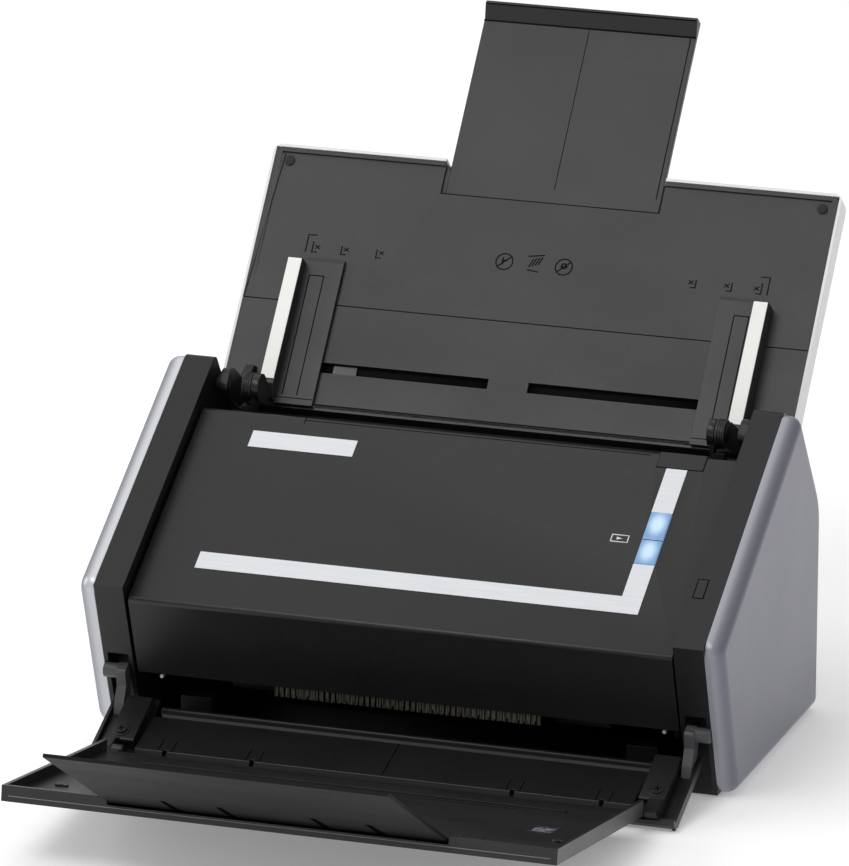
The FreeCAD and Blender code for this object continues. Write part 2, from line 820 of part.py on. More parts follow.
idle_roller("feed_pinch", "feed_at", "pinch_rise", "pinch_radius", tyre_x, tyre_wide)
idle_roller("exit_pinch", "exit_at", "pinch_rise", "pinch_radius", tyre_x, tyre_wide)
idle_roller("brake_roller", PICK_AT, "brake_radius + 0.3", "brake_radius", (-18,), 36)

# --------------------------------------------------------------------- chute
# The paper chute: a black liner in a pale outer shell, hinged on both end frames.
liner = box(("-liner_half", "liner_half"), ("chute_low", "chute_high - rim_wide"), ("-liner_thick", "0"))
rims = [
    solid(
        [
            ("rim_start", "-0.5"),
            ("chute_high - rim_wide", "-0.5"),
            ("chute_high - rim_wide", "rim_rise"),
            ("rim_start", "0"),
        ],
        *across(side, "liner_half - 3", "liner_half"),
    )
    for side, name in SIDES
]
top_span = ("chute_high - rim_wide - 2", "chute_high - rim_wide")
top_rim = box(("-liner_half", "liner_half"), top_span, ("-0.5", "rim_rise"))
slots = [
    box(("-88.9", "-10"), ("-slot_drop", "0"), ("-4", "1")),
    box(("8.6", "87.5"), ("-slot_drop", "0"), ("-4", "1")),
    box(("-extension_half - 1.5", "extension_half + 1.5"), ("pocket_low", "chute_high"), ("-4", "4")),
]


def corner_cuts(half, high, radius):
    """Cutters that round the two top corners of a part of the chute."""
    cuts = []
    for side, name in SIDES:
        corner_x = across(side, f"{half} - {radius}", f"{half} + 1")
        square = box(corner_x, (f"{high} - {radius}", f"{high} + 1"), ("-chute_back - 1", "5"))
        centre_x = f"{side} * ({half} - {radius})"
        cuts.append(cut(square, post(centre_x, f"{high} - {radius}", ("-chute_back - 2", "6"), radius)))
    return cuts


liner_corners = corner_cuts("liner_half", "(chute_high - rim_wide)", "(chute_corner - 1)")
keep(cut(joined(liner, top_rim, *rims), *slots, *liner_corners), "chute_liner", "chute")

shell = solid(
    [
        ("chute_low", "-chute_back"),
        ("chute_high", "-chute_back"),
        ("chute_high", "rim_rise + 0.4"),
        ("rim_start", "0.4"),
        ("chute_low", "0.4"),
    ],
    "-chute_half",
    "chute_half",
)
rounded(shell, {0: 4, 1: 6})
hollow(
    shell,
    [
        ("chute_low - 5", "-chute_back + wall"),
        ("chute_high - rim_wide + 0.1", "-chute_back + wall"),
        ("chute_high - rim_wide + 0.1", "10"),
        ("chute_low - 5", "10"),
    ],
    "-liner_half - 0.1",
    "liner_half + 0.1",
)
hollow(
    shell,
    [
        ("chute_high - 5", "-liner_thick - 3.4"),
        ("chute_high + 5", "-liner_thick - 3.4"),
        ("chute_high + 5", "10"),
        ("chute_high - 5", "10"),
    ],
    "-extension_half - 1.5",
    "extension_half + 1.5",
)
keep(cut(shell, *corner_cuts("chute_half", "chute_high", "chute_corner")), "chute_shell", "chute")

bumpers = [post(f"{side} * 125", "96.4", ("0", "0.9"), 2.4) for side in (-1, 1)]
keep(joined(*bumpers), "chute_bumpers", "chute")


def chute_arm(side, name):
    """The bracket from the chute's lower corner to its pivot."""
    low, high = across(side, "arm_x", "arm_x + arm_wide")
    arm = solid(
        [
            ("-22", "0"),
            ("-5", "0"),
            ("-6", "3.5"),
            ("-13.6", "8"),
            ("-16.8", "10"),
            ("-18", "pivot_n"),
            ("-20.5", "pivot_n + 5.5"),
            ("-29.5", "pivot_n + 5.5"),
            ("-32", "pivot_n"),
            ("-29", "8"),
        ],
        low,
        high,
    )
    rounded(arm, {6: 4, 7: 4, 2: 1.5})
    bore_x = across(side, "arm_x - 2", "arm_x + arm_wide + 2")
    bore = rod(bore_x, "pivot_s", "pivot_n", "pivot_radius + running_gap")
    keep(cut(arm, bore), f"chute_arm_{name}", "chute")


for side, name in SIDES:
    chute_arm(side, name)

# The pull-out extension: a thin plate with a turned-up lip at its top end.
extension = box(
    ("-extension_half", "extension_half"),
    ("extension_low", "extension_high"),
    ("-liner_thick - 0.4 - extension_thick", "-liner_thick - 0.4"),
)
extension_lip = solid(
    [
        ("extension_high - 8", "-liner_thick - 0.6 - extension_thick + 0.2"),
        ("extension_high", "-liner_thick - 0.6 - extension_thick + 0.2"),
        ("extension_high", "0.6"),
        ("extension_high - 1.5", "1.2"),
        ("extension_high - 8", "-liner_thick - 0.5"),
    ],
    "-extension_half",
    "extension_half",
)
keep(joined(extension, extension_lip), "chute_extension", "chute")


# --------------------------------------------------------------- side guides
def side_guide(side, name):
    """A guide leaf: the plate under the sheet, its fence, and its hub on the chute's axis."""
    plate = solid(
        [
            ("guide_low", "guide_lift"),
            ("guide_high", "guide_lift"),
            ("guide_high", "guide_lift + guide_thick * 0.6"),
            ("guide_high - 2", "guide_lift + guide_thick"),
            ("guide_low", "guide_lift + guide_thick"),
        ],
        *across(side, "guide_in", "guide_face + 0.5"),
    )
    fence = solid(
        [
            ("-22", "guide_lift"),
            ("guide_high - 3", "guide_lift"),
            ("guide_high - 3.5", "fence_high_n"),
            ("-16", "fence_low_n"),
            ("-22", "fence_low_n - 3"),
        ],
        *across(side, "guide_face", "guide_out"),
    )
    hub = solid(
        [
            ("-24", "guide_lift + 1"),
            ("-15", "guide_lift + 1"),
            ("-18.5", "pivot_n - 4"),
            ("-20.5", "pivot_n"),
            ("-31.5", "pivot_n"),
            ("-30.5", "pivot_n - 6"),
        ],
        *across(side, "hub_x", "guide_out - 0.6"),
    )
    disc = rod(across(side, "hub_x", "guide_out - 0.6"), "pivot_s", "pivot_n", "hub_radius")
    bore_x = across(side, "hub_x - 1", "guide_out + 1")
    bore = rod(bore_x, "pivot_s", "pivot_n", "hub_pin_radius + running_gap")
    keep(cut(joined(plate, fence, hub, disc), bore), f"side_guide_{name}", "chute")
    strip = solid(
        [
            ("-14", "fence_low_n"),
            ("guide_high - 4", "fence_high_n"),
            ("guide_high - 4", "fence_high_n + strip_thick"),
            ("-14", "fence_low_n + strip_thick"),
        ],
        *across(side, "guide_face + 0.1", "guide_out - 0.1"),
    )
    hollow(
        strip,
        [
            ("-20", "fence_low_n - 3"),
            ("guide_high", "fence_high_n - 3"),
            ("guide_high - 3.5", "fence_high_n"),
            ("-16", "fence_low_n"),
        ],
        *across(side, "guide_face - 1", "guide_out + 1"),
    )
    keep(strip, f"guide_strip_{name}", "chute")


def rack_teeth(start, count, line, toward):
    """Straight-sided rack teeth along X: their pitch line is at Y line, pointing in Y toward."""
    module = size("gear_module")
    pitch = math.pi * module
    slope = math.tan(math.radians(20))
    thick = pitch / 2 - size("gear_backlash") / 2
    shapes = []
    for number in range(count):
        centre = start + number * pitch
        tip = thick / 2 - 0.95 * module * slope
        foot = thick / 2 + 1.6 * module * slope
        corners = [
            (centre - foot, line - toward * 1.6 * module),
            (centre - tip, line + toward * 0.95 * module),
            (centre + tip, line + toward * 0.95 * module),
            (centre + foot, line - toward * 1.6 * module),
        ]
        ring = [FreeCAD.Vector(x, y, size("rack_z")) for x, y in corners]
        face = Part.Face(Part.makePolygon(ring + [ring[0]]))
        shapes.append(face.extrude(FreeCAD.Vector(0, 0, size("rack_tall"))))
    return Part.makeCompound(shapes)


def guide_slider(side, name):
    """The post that carries a guide leaf, with its rack reaching the pinion."""
    radius = size("rack_pinion_teeth") * size("gear_module") / 2
    line = size("rack_y") + side * radius
    pitch = math.pi * size("gear_module")
    start = (-3.5 if side > 0 else -32.5) * pitch
    teeth = doc.addObject("Part::Feature", f"rack_teeth_{name}")
    teeth.Shape = rack_teeth(start, 36, line, -side)
    bar_y = (line + side * 1.4, line + side * 4.4)
    bar_span = (min(bar_y), max(bar_y))
    rack_z = ("rack_z", "rack_z + rack_tall")
    rack = box(across(side, "-12", "guide_out - 0.2"), bar_span, rack_z)
    post_x = across(side, "105", "guide_out - 0.2")
    column = box(post_x, ("slider_y", "slider_y + slider_deep"), ("rack_z - 5.6", "124.5"))
    pieces = [teeth, rack, column]
    if side > 0:
        pieces.append(box(post_x, ("slider_y", bar_span[1]), ("rack_z - 5.6", "rack_z - 0.4")))
        pieces.append(box(post_x, bar_span, ("rack_z - 5.6", "rack_z + 1")))
    hub_y, hub_z = on_chute("pivot_s", "pivot_n")
    lug_x = across(side, "103.6", "106.9")
    pieces.append(rod(lug_x, hub_y, hub_z, "hub_radius"))
    pieces.append(box(across(side, "105", "106.9"), ("slider_y", "slider_y + slider_deep"), ("123", "130")))
    pieces.append(rod(across(side, "104", "guide_out - 0.2"), hub_y, hub_z, "hub_pin_radius"))
    keep(joined(*pieces), f"guide_slider_{name}")


for side, name in SIDES:
    side_guide(side, name)
    guide_slider(side, name)

# The pinion that keeps the two guides the same distance from the middle.
pinion_face = gear_outline(int(size("rack_pinion_teeth")), math.pi / 2, size("gear_backlash"))
rack_pinion = doc.addObject("Part::Feature", "rack_pinion_blank")
rack_pinion.Shape = pinion_face.extrude(FreeCAD.Vector(size("rack_tall"), 0, 0))
rack_pinion.Placement = FreeCAD.Placement(
    FreeCAD.Vector(0, size("rack_y"), size("rack_z")), FreeCAD.Rotation(FreeCAD.Vector(0, 1, 0), -90)
)
pinion_bore = post("0", "rack_y", ("rack_z - 1", "rack_z + rack_tall + 1"), "2 + running_gap")
keep(cut(rack_pinion, pinion_bore), "rack_pinion")

# ------------------------------------------------------------ stacking cover
# The fold-down front cover.  Its own line runs along its pins, -Y to its tip.
door = solid(
    [
        ("-12.8", "-door_skin"),
        ("-42", "-door_skin"),
        ("1.3 - door_long", "1.8 - door_skin"),
        ("-door_long", "4.5 - door_skin"),
        ("-door_long", "6.8 - door_skin"),
        ("2 - door_long", "6.8 - door_skin"),
        ("2.3 - door_long", "4 - door_skin"),
        ("-42", "2 - door_skin"),
        ("-12.8", "2 - door_skin"),
    ],
    "-door_half",
    "door_half",
)
door_pieces = [door]
for side, name in SIDES:
    floor_x = across(side, "ramp_half + 0.6", "door_half")
    door_pieces.append(box(floor_x, ("-13", "-2"), ("-door_skin", "2 - door_skin")))
    rim_x = across(side, "door_half - 1.6", "door_half")
    door_pieces.append(box(rim_x, ("1 - door_long", "-2"), ("1 - door_skin", "4.4 - door_skin")))
keep(joined(*door_pieces), "stacker_cover", "door")

# The sloping inner plate that lifts the sheets' leading edges, with four notches.
ramp = solid(
    [
        ("-13", "2 - door_skin"),
        ("-13", "2.5 - door_skin"),
        ("-38.2", "6.3 - door_skin"),
        ("-40.8", "3.6 - door_skin"),
        ("-40.8", "2 - door_skin"),
    ],
    "-ramp_half",
    "ramp_half",
)
notches = [box((x - 1, x + 1), ("-42", "-37"), ("3 - door_skin", "0")) for x in (-99, -59, 59, 99)]
keep(cut(ramp, *notches), "stacker_ramp", "door")


def door_arm(side, name):
    """A hinge arm with its pin moulded on, standing on the cover's floor."""
    arm = solid(
        [
            ("-3.5", "3.2"),
            ("3", "3.2"),
            ("4", "-2"),
            ("-3.4", "2 - door_skin"),
            ("-14", "2 - door_skin"),
            ("-11", "-9"),
            ("-5", "-4"),
        ],
        *across(side, "door_arm_x", "door_arm_x + 4.4"),
    )
    rounded(arm, {0: 2, 1: 2})
    pin = rod(across(side, "door_arm_x + 1", "half_width - panel_thick - 0.2"), "0", "0", "door_pin_radius")
    keep(joined(arm, pin), f"door_arm_{name}", "door")


def arm_hood(side, name):
    """The moulded hood beside each arm; its front leg carries the tray's hinge pin."""
    hood = solid(
        [
            ("-6", "2 - door_skin"),
            ("-6", "hood_top"),
            ("-34.8", "hood_top"),
            ("-34.8", "2 - door_skin"),
        ],
        *across(side, "hood_in", "hood_out"),
    )
    rounded(hood, {1: 1.5, 2: 1})
    leg = solid(
        [
            ("-34", "2 - door_skin"),
            ("-34", "hood_top"),
            ("-38", "hood_top + 3.6"),
            ("-44.5", "hood_top + 5"),
            ("-46", "hood_top + 3"),
            ("-46", "-7.8"),
            ("-44.2", "-8"),
            ("-44.2", "-10.4"),
            ("-41.6", "2 - door_skin"),
        ],
        *across(side, "knuckle_x + knuckle_wide + 0.5", "hood_out"),
    )
    pin_x = across(side, "knuckle_x - 0.2", "hood_out - 1")
    pin = rod(pin_x, "tray_pin_y", "tray_pin_z", "tray_pin_radius")
    keep(joined(hood, leg, pin), f"arm_hood_{name}", "door")


for side, name in SIDES:
    door_arm(side, name)
    arm_hood(side, name)
heads = [post(f"{side} * 121.6", "-29", ("hood_top", "hood_top + 1.2"), 2.6) for side in (-1, 1)]
keep(joined(*heads), "hood_screws", "door")

# ------------------------------------------------------------ stacker tray
# The fold-out tray that carries the middle of the sheet, hinged at the cover's tip.
floor = box(("-tray_half", "tray_half"), ("-tray_long", "-8"), ("tray_low", "tray_floor"))
tray_pieces = [floor]
rib_front = box(("-95", "95"), ("-32", "-30"), ("0", "tray_floor + 1.2"))
tray_pieces.append(rib_front)
tray_pieces.append(box(("-tray_half", "tray_half"), ("-tray_long", "2 - tray_long"), ("0", "2.2")))
tray_bores = []
for side, name in SIDES:
    wall_x = across(side, "tray_half - 2", "tray_half")
    tray_pieces.append(box(wall_x, ("-tray_long", "-8"), ("0", "tray_rim")))
    corner_x = across(side, "flap_half + 4.6", "tray_half")
    tray_pieces.append(box(corner_x, ("-tray_long", "2 - tray_long"), ("0", "tray_rim")))
    block_x = across(side, "flap_half + 0.7", "flap_half + 5")
    tray_pieces.append(box(block_x, ("-tray_long", "flap_seat_y + 3"), ("0", "flap_seat_z + 2.6")))
    bore_x = across(side, "flap_half - 1", "flap_half + 3.6")
    tray_bores.append(rod(bore_x, "flap_seat_y", "flap_seat_z", "flap_pin_radius + running_gap"))
    ear_x = across(side, "knuckle_x", "knuckle_x + knuckle_wide")
    tray_pieces.append(box(ear_x, ("-12", "-0.5"), ("tray_low", "tray_floor")))
    tray_pieces.append(rod(ear_x, "0", "0", "2.5"))
    bore_x = across(side, "knuckle_x - 1", "knuckle_x + knuckle_wide + 1")
    tray_bores.append(rod(bore_x, "0", "0", "tray_pin_radius + running_gap"))
keep(cut(joined(*tray_pieces), *tray_bores), "stacker_tray", "tray")

# The flap that props up the sheets' leading ends, hinged inside the tray's lip.
leaf = box(("-flap_half", "flap_half"), ("-flap_long", "0"), ("-flap_thick / 2", "flap_thick / 2"))
roll = rod(("-flap_half", "flap_half"), "0", "0", "flap_thick")
trunnion_x = ("flap_half - 1", "flap_half + 3.2")
trunnions = [rod(across(side, *trunnion_x), "0", "0", "flap_pin_radius") for side in (-1, 1)]
keep(joined(leaf, roll, *trunnions), "stacker_flap", "flap")

# ------------------------------------------------------------------- export
doc.recompute()
for item in doc.Objects:
    if "Invalid" in item.State or "Error" in item.State:
        raise ValueError(f"{item.Name} ({item.Label}) failed: {item.State}")
os.makedirs("parts", exist_ok=True)
for item in nodes:
    shape = item.Shape
    if shape.isNull() or not shape.isValid():
        raise ValueError(f"{item.Label} has no valid shape")
    shape.exportStep(f"parts/{item.Label}.step")
whole = FreeCAD.BoundBox()
for item in nodes:
    whole.add(item.Shape.BoundBox)
print(len(nodes), "sub-parts", whole)
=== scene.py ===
import json
import math

import bmesh
import bpy
from mathutils import Matrix, Vector


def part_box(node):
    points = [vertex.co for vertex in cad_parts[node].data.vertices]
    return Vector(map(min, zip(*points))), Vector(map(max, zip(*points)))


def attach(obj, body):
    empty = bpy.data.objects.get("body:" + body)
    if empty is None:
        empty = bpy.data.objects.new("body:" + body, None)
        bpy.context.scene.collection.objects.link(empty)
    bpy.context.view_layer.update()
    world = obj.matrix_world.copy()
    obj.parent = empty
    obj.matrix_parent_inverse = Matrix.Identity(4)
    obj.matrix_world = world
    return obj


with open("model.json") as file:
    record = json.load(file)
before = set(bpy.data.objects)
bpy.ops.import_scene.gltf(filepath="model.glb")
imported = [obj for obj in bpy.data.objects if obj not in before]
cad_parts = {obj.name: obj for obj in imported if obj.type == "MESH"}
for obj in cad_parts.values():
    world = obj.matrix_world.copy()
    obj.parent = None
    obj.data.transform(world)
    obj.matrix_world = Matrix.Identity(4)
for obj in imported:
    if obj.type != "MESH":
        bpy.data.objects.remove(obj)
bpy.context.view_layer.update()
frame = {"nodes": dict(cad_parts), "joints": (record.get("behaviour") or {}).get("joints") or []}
MM = 0.001


# Side panels: two moulded outer covers in satin silver paint, with a fine flake and a
# little orange peel.  The rounded rims are painted paler than the flat faces as a painted
# highlight, the left one most, in the tones given.
class Wire:
    """A shader socket that can be used in a sum; each operator adds its Math node."""

    def __init__(self, finish, socket):
        self.finish = finish
        self.socket = socket

    def math(self, operation, first, second):
        return self.finish.node("ShaderNodeMath", {"operation": operation}, {0: first, 1: second})

    def __add__(self, other):
        return self.math("ADD", self, other)

    def __sub__(self, other):
        return self.math("SUBTRACT", self, other)

    def __rsub__(self, other):
        return self.math("SUBTRACT", other, self)

    def __mul__(self, other):
        return self.math("MULTIPLY", self, other)

    __radd__ = __add__
    __rmul__ = __mul__


class Finish:
    """One material being made, and the nodes behind its surface."""

    def __init__(self, name, **constants):
        self.material = bpy.data.materials.new(name)
        self.material.use_nodes = True
        self.tree = self.material.node_tree
        self.surface = self.tree.nodes["Principled BSDF"]
        for socket, value in constants.items():
            self.surface.inputs[socket.replace("_", " ")].default_value = value
        self.place = self.node("ShaderNodeTexCoord", out="Object")

    def node(self, kind, settings=None, sockets=None, out=0):
        made = self.tree.nodes.new(kind)
        for name, value in (settings or {}).items():
            if name == "stops":
                ramp = made.color_ramp
                for element, (position, colour) in zip(ramp.elements, value):
                    element.position = position
                    element.color = colour
            else:
                setattr(made, name, value)
        for name, value in (sockets or {}).items():
            if isinstance(value, Wire):
                self.tree.links.new(value.socket, made.inputs[name])
            else:
                made.inputs[name].default_value = value
        return Wire(self, made.outputs[out])

    def grain(self, scale, detail=3.0, stretch=(1, 1, 1)):
        """Even noise from 0 to 1, with scale in grains a metre."""
        spot = self.place
        if stretch != (1, 1, 1):
            spot = self.node("ShaderNodeMapping", {}, {"Vector": spot, "Scale": stretch})
        return self.node("ShaderNodeTexNoise", {}, {"Vector": spot, "Scale": scale, "Detail": detail})

    def ramp(self, value, low, high):
        """value stretched so that low becomes 0 and high becomes 1."""
        black, white = (0, 0, 0, 1), (1, 1, 1, 1)
        return self.node("ShaderNodeValToRGB", {"stops": ((low, black), (high, white))}, {"Fac": value})

    def blend(self, share, first, second):
        names = {"Factor": share, 6: first, 7: second}
        return self.node("ShaderNodeMix", {"data_type": "RGBA"}, names, out=2)

    def feed(self, **wires):
        for socket, wire in wires.items():
            self.tree.links.new(wire.socket, self.surface.inputs[socket.replace("_", " ")])
        return self.material

    def bumps(self, height, depth):
        """Surface relief: height from 0 to 1, depth in metres."""
        return self.node("ShaderNodeBump", {}, {"Height": height, "Distance": depth, "Strength": 1.0})


def edge_wear_and_highlight(finish, colour, brighter, amount):
    """The colour, paler where an edge turns outwards: rubbed wear, and on the silver panels also a
    painted highlight.
    """
    turn = finish.node("ShaderNodeNewGeometry", out="Pointiness")
    rubbed = finish.ramp(turn, 0.52, 0.62) * (finish.grain(260) * 0.6 + 0.4) * amount
    return finish.blend(rubbed, colour, brighter)


def silver_paint(name, painted_rim_highlight):
    finish = Finish(name, Metallic=0.3, Coat_Weight=0.12, Coat_Roughness=0.25)
    flake = finish.ramp(finish.grain(5200, 1.0), 0.35, 0.7)
    tone = finish.ramp(finish.grain(14, 2.0), 0.3, 0.7)
    base = finish.blend(flake, (0.122, 0.125, 0.160, 1), (0.153, 0.156, 0.195, 1))
    base = finish.blend(tone * 0.25, base, (0.12, 0.124, 0.158, 1))
    sideways = finish.node("ShaderNodeSeparateXYZ", {}, {"Vector": finish.place})
    distance = finish.node("ShaderNodeMath", {"operation": "ABSOLUTE"}, {0: sideways})
    # Painted highlight: towards the rounded rim the colour turns to the given rim tone.
    face_x, rim_x = 0.1456, 0.1390
    span = {"Value": distance, "From Min": face_x, "From Max": rim_x, "To Min": 0.0, "To Max": 1.0}
    rim_highlight_share = finish.node("ShaderNodeMapRange", {"interpolation_type": "SMOOTHSTEP"}, span)
    base = finish.blend(rim_highlight_share, base, (*painted_rim_highlight, 1))
    # The pale outward edges here are partly rubbed paint and partly a painted highlight.
    colour = edge_wear_and_highlight(finish, base, (0.62, 0.63, 0.67, 1), 0.8)
    rough = finish.grain(40) * 0.08 + flake * 0.05 + 0.3
    peel = finish.bumps(finish.grain(900, 2.0), 0.00003)
    return finish.feed(Base_Color=colour, Roughness=rough, Normal=peel)


def soften(item, width, angle=32, segments=3):
    """Rounds an item's sharp edges and shades its faces flat between them."""
    weld = item.modifiers.new("weld", "WELD")
    weld.merge_threshold = 0.000002
    flat = item.modifiers.new("flat", "DECIMATE")
    flat.decimate_type = "DISSOLVE"
    flat.angle_limit = math.radians(0.6)
    bevel = item.modifiers.new("bevel", "BEVEL")
    bevel.width = width
    bevel.segments = segments
    bevel.limit_method = "ANGLE"
    bevel.angle_limit = math.radians(angle)
    bevel.harden_normals = True
    bevel.use_clamp_overlap = True
    bevel.miter_outer = "MITER_ARC"


def dress(node, finish, width=0.3, angle=32):
    """Gives a CAD node its material and rounds its edges, width in mm."""
    item = frame["nodes"][node]
    item.data.materials.clear()
    item.data.materials.append(finish)
    if width:
        soften(item, width * MM, angle)
    return item


# Each side has its own painted rim highlight, paler on the left than on the right.
for side, painted_rim_highlight in (("left", (0.62, 0.63, 0.66)), ("right", (0.33, 0.335, 0.375))):
    dress(f"side_panel_{side}", silver_paint(f"silver_paint_{side}", painted_rim_highlight), 0.25)


# End frames: black moulded frames beside the feed unit, in glass-filled plastic with
# a fine spark texture.  They carry every shaft, and the cover's arms turn in them.
def moulded(name, dark, light, rough, texture=0.00004, scale=3200, wear=0.35, **constants):
    """Moulded plastic: a spark-eroded grain, faint flow marks and rubbed edges."""
    finish = Finish(name, **{"Specular_IOR_Level": 0.36, **constants})
    spark = finish.ramp(finish.grain(scale, 2.0), 0.3, 0.72)
    flow = finish.ramp(finish.grain(22, 3.0, (1, 2.4, 1)), 0.35, 0.68)
    base = finish.blend(spark * 0.5 + flow * 0.4, (*dark, 1), (*light, 1))
    rubbed = tuple(min(1, c * 2.2 + 0.012) for c in light)
    colour = edge_wear_and_highlight(finish, base, (*rubbed, 1), wear)
    roughness = spark * 0.08 + flow * 0.06 + (rough - 0.07)
    return finish.feed(Base_Color=colour, Roughness=roughness, Normal=finish.bumps(spark, texture))


BLACK = moulded("black_frame_plastic", (0.0045, 0.0046, 0.0051), (0.0068, 0.0069, 0.0075), 0.36)
for side in ("left", "right"):
    dress(f"end_frame_{side}", BLACK, 0.35)


def bench(node, tilt, along=0.0, off=0.0):
    """A sloping work plane on a node: +Y up the slope, +Z out of it, in metres.
    The node's own lowest Y and Z on that plane are given the values along and off, in mm."""
    turn = Matrix.Rotation(math.radians(tilt), 4, "X")
    back = turn.inverted()
    points = [back @ v.co for v in frame["nodes"][node].data.vertices]
    low_y = min(p.y for p in points) - along * MM
    low_z = min(p.z for p in points) - off * MM
    return turn @ Matrix.Translation((0, low_y, low_z))


def piece(name, body, plane, shapes, finish, width=0.2):
    """One mesh of simple solids, in mm on a work plane, with rounded edges, riding on a body.
    ("box", x, y, z) has a (low, high) pair each way; ("disc", (x, y), z, r) stands on the
    plane; ("rod", x, (y, z), r) lies along X; ("side", x, points) is a (Y, Z) outline along
    X; ("plan", points, z) is an (X, Y) outline along Z."""
    mesh = bmesh.new()

    def prism(rings):
        low, high = [[mesh.verts.new(Vector(p) * MM) for p in ring] for ring in rings]
        count = len(low)
        mesh.faces.new(list(reversed(low)))
        mesh.faces.new(high)
        for n in range(count):
            mesh.faces.new((low[n], low[(n + 1) % count], high[(n + 1) % count], high[n]))

    steps = 40
    angles = [2 * math.pi * n / steps for n in range(steps)]
    turns = [(math.cos(angle), math.sin(angle)) for angle in angles]
    for kind, *size in shapes:
        if kind == "box":
            (x0, x1), (y0, y1), (z0, z1) = size
            prism([[(x0, y0, z), (x1, y0, z), (x1, y1, z), (x0, y1, z)] for z in (z0, z1)])
        elif kind == "disc":
            (x, y), span, radius = size
            circle = [(x + radius * c, y + radius * s) for c, s in turns]
            prism([[(x, y, z) for x, y in circle] for z in span])
        elif kind == "rod":
            span, (y, z), radius = size
            circle = [(y + radius * c, z + radius * s) for c, s in turns]
            prism([[(x, y, z) for y, z in circle] for x in span])
        elif kind == "side":
            span, points = size
            prism([[(x, y, z) for y, z in points] for x in span])
        elif kind == "plan":
            points, span = size
            prism([[(x, y, z) for x, y in points] for z in span])
    bmesh.ops.recalc_face_normals(mesh, faces=mesh.faces)
    data = bpy.data.meshes.new(name)
    mesh.to_mesh(data)
    mesh.free()
    data.transform(plane)
    item = bpy.data.objects.new(name, data)
    bpy.context.scene.collection.objects.link(item)
    data.materials.append(finish)
    for face in data.polygons:
        face.use_smooth = True
    if width:
        bevel = item.modifiers.new("bevel", "BEVEL")
        bevel.width = width * MM
        bevel.segments = 2
        bevel.limit_method = "ANGLE"
        bevel.angle_limit = math.radians(32)
        bevel.harden_normals = True
    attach(item, body)
    return item


# A plugged service hole on the right end frame's sloping top, with the thin gap round
# its plug.
SEAM = moulded("seam_shadow", (0.003, 0.003, 0.003), (0.005, 0.005, 0.005), 0.7, wear=0.0,
               Specular_IOR_Level=0.0)
COVER_TILT = 31.05
frame_top = bench("end_frame_right", COVER_TILT)
top_points = [frame_top.inverted() @ v.co for v in frame["nodes"]["end_frame_right"].data.vertices]
top_z = max(p.z for p in top_points) / MM
plug_low = min(p.y for p in top_points) / MM + 45
plug_high = plug_low + 10.4
plug = [
    ("box", (125.9, 130.1), (plug_low, plug_high), (top_z - 0.4, top_z + 0.15)),
]
piece("frame_plug", "frame", frame_top, plug, BLACK, 0.25)
gap, gap_z = 0.4, (top_z - 0.4, top_z + 0.04)
plug_gap = [
    ("box", (125.5, 125.9), (plug_low - gap, plug_high + gap), gap_z),
    ("box", (130.1, 130.5), (plug_low - gap, plug_high + gap), gap_z),
    ("box", (125.9, 130.1), (plug_low - gap, plug_low), gap_z),
    ("box", (125.9, 130.1), (plug_high, plug_high + gap), gap_z),
]
piece("frame_plug_gap", "frame", frame_top, plug_gap, SEAM, 0)

# Base, rear wall and feet: the same black plastic below, charcoal plastic behind.
# The feet are soft discs pressed into the base.
CHARCOAL = moulded("charcoal_plastic", (0.0125, 0.0127, 0.0135), (0.0175, 0.0178, 0.0188), 0.34, 0.00003)
RUBBER = moulded("foot_rubber", (0.012, 0.012, 0.012), (0.022, 0.022, 0.022), 0.75, 0.00006, 1800)
dress("base_cover", BLACK, 0.4)
dress("rear_cover", CHARCOAL, 0)
dress("rubber_feet", RUBBER, 0.2)
dress("exit_tabs", BLACK, 0.3)


def bare_metal(name, tone, rough, stretch=(1, 60, 1)):
    """Metal with the fine lines of its last cut, and a faint stain."""
    finish = Finish(name, Metallic=1.0)
    lines = finish.ramp(finish.grain(700, 2.0, stretch), 0.3, 0.7)
    stain = finish.ramp(finish.grain(35, 3.0), 0.35, 0.75)
    darker = tuple(c * 0.78 for c in tone)
    colour = finish.blend(lines * 0.5 + stain * 0.3, (*tone, 1), (*darker, 1))
    roughness = lines * 0.12 + stain * 0.08 + (rough - 0.08)
    return finish.feed(Base_Color=colour, Roughness=roughness, Normal=finish.bumps(lines, 0.00001))


STEEL = bare_metal("ground_steel", (0.60, 0.61, 0.63), 0.28)
wall_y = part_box("rear_cover")[1].y / MM
rim_y = (wall_y - 0.1, wall_y + 0.5)
socket_rims = [
    ("box", x, rim_y, z) for x in ((-66.4, -49.6), (-38.6, -21.4)) for z in ((7.6, 9.4), (21.4, 23.2))
]
flat_plane = Matrix.Identity(4)
piece("socket_rims", "frame", flat_plane, socket_rims, CHARCOAL, 0.2)
blank_label = [("box", (10, 74), (wall_y - 0.1, wall_y + 0.12), (24, 52))]
LABEL = bare_metal("label_foil", (0.5, 0.51, 0.53), 0.4)
piece("rear_label_blank", "frame", flat_plane, blank_label, LABEL, 0.05)
case_screws = [("disc", (x, y), (0.1, 0.95), 3.4) for x in (-96, 96) for y in (20, 108)]
piece("base_screws", "frame", flat_plane, case_screws, STEEL, 0.2)

# Paper path: smooth black guides above and below, two glass strips over the sensors,
# ground shafts and rubber tyres.  Most of it is inside, seen through the two mouths.
PATH = moulded("path_plastic", (0.008, 0.008, 0.0085), (0.012, 0.012, 0.0125), 0.3, 0.00001)


def clear_glass():
    finish = Finish("scan_glass", Transmission_Weight=0.9, IOR=1.5)
    haze = finish.ramp(finish.grain(120, 4.0), 0.45, 0.8)
    colour = finish.blend(haze, (0.80, 0.88, 0.88, 1), (0.70, 0.78, 0.78, 1))
    return finish.feed(Base_Color=colour, Roughness=haze * 0.06 + 0.01)


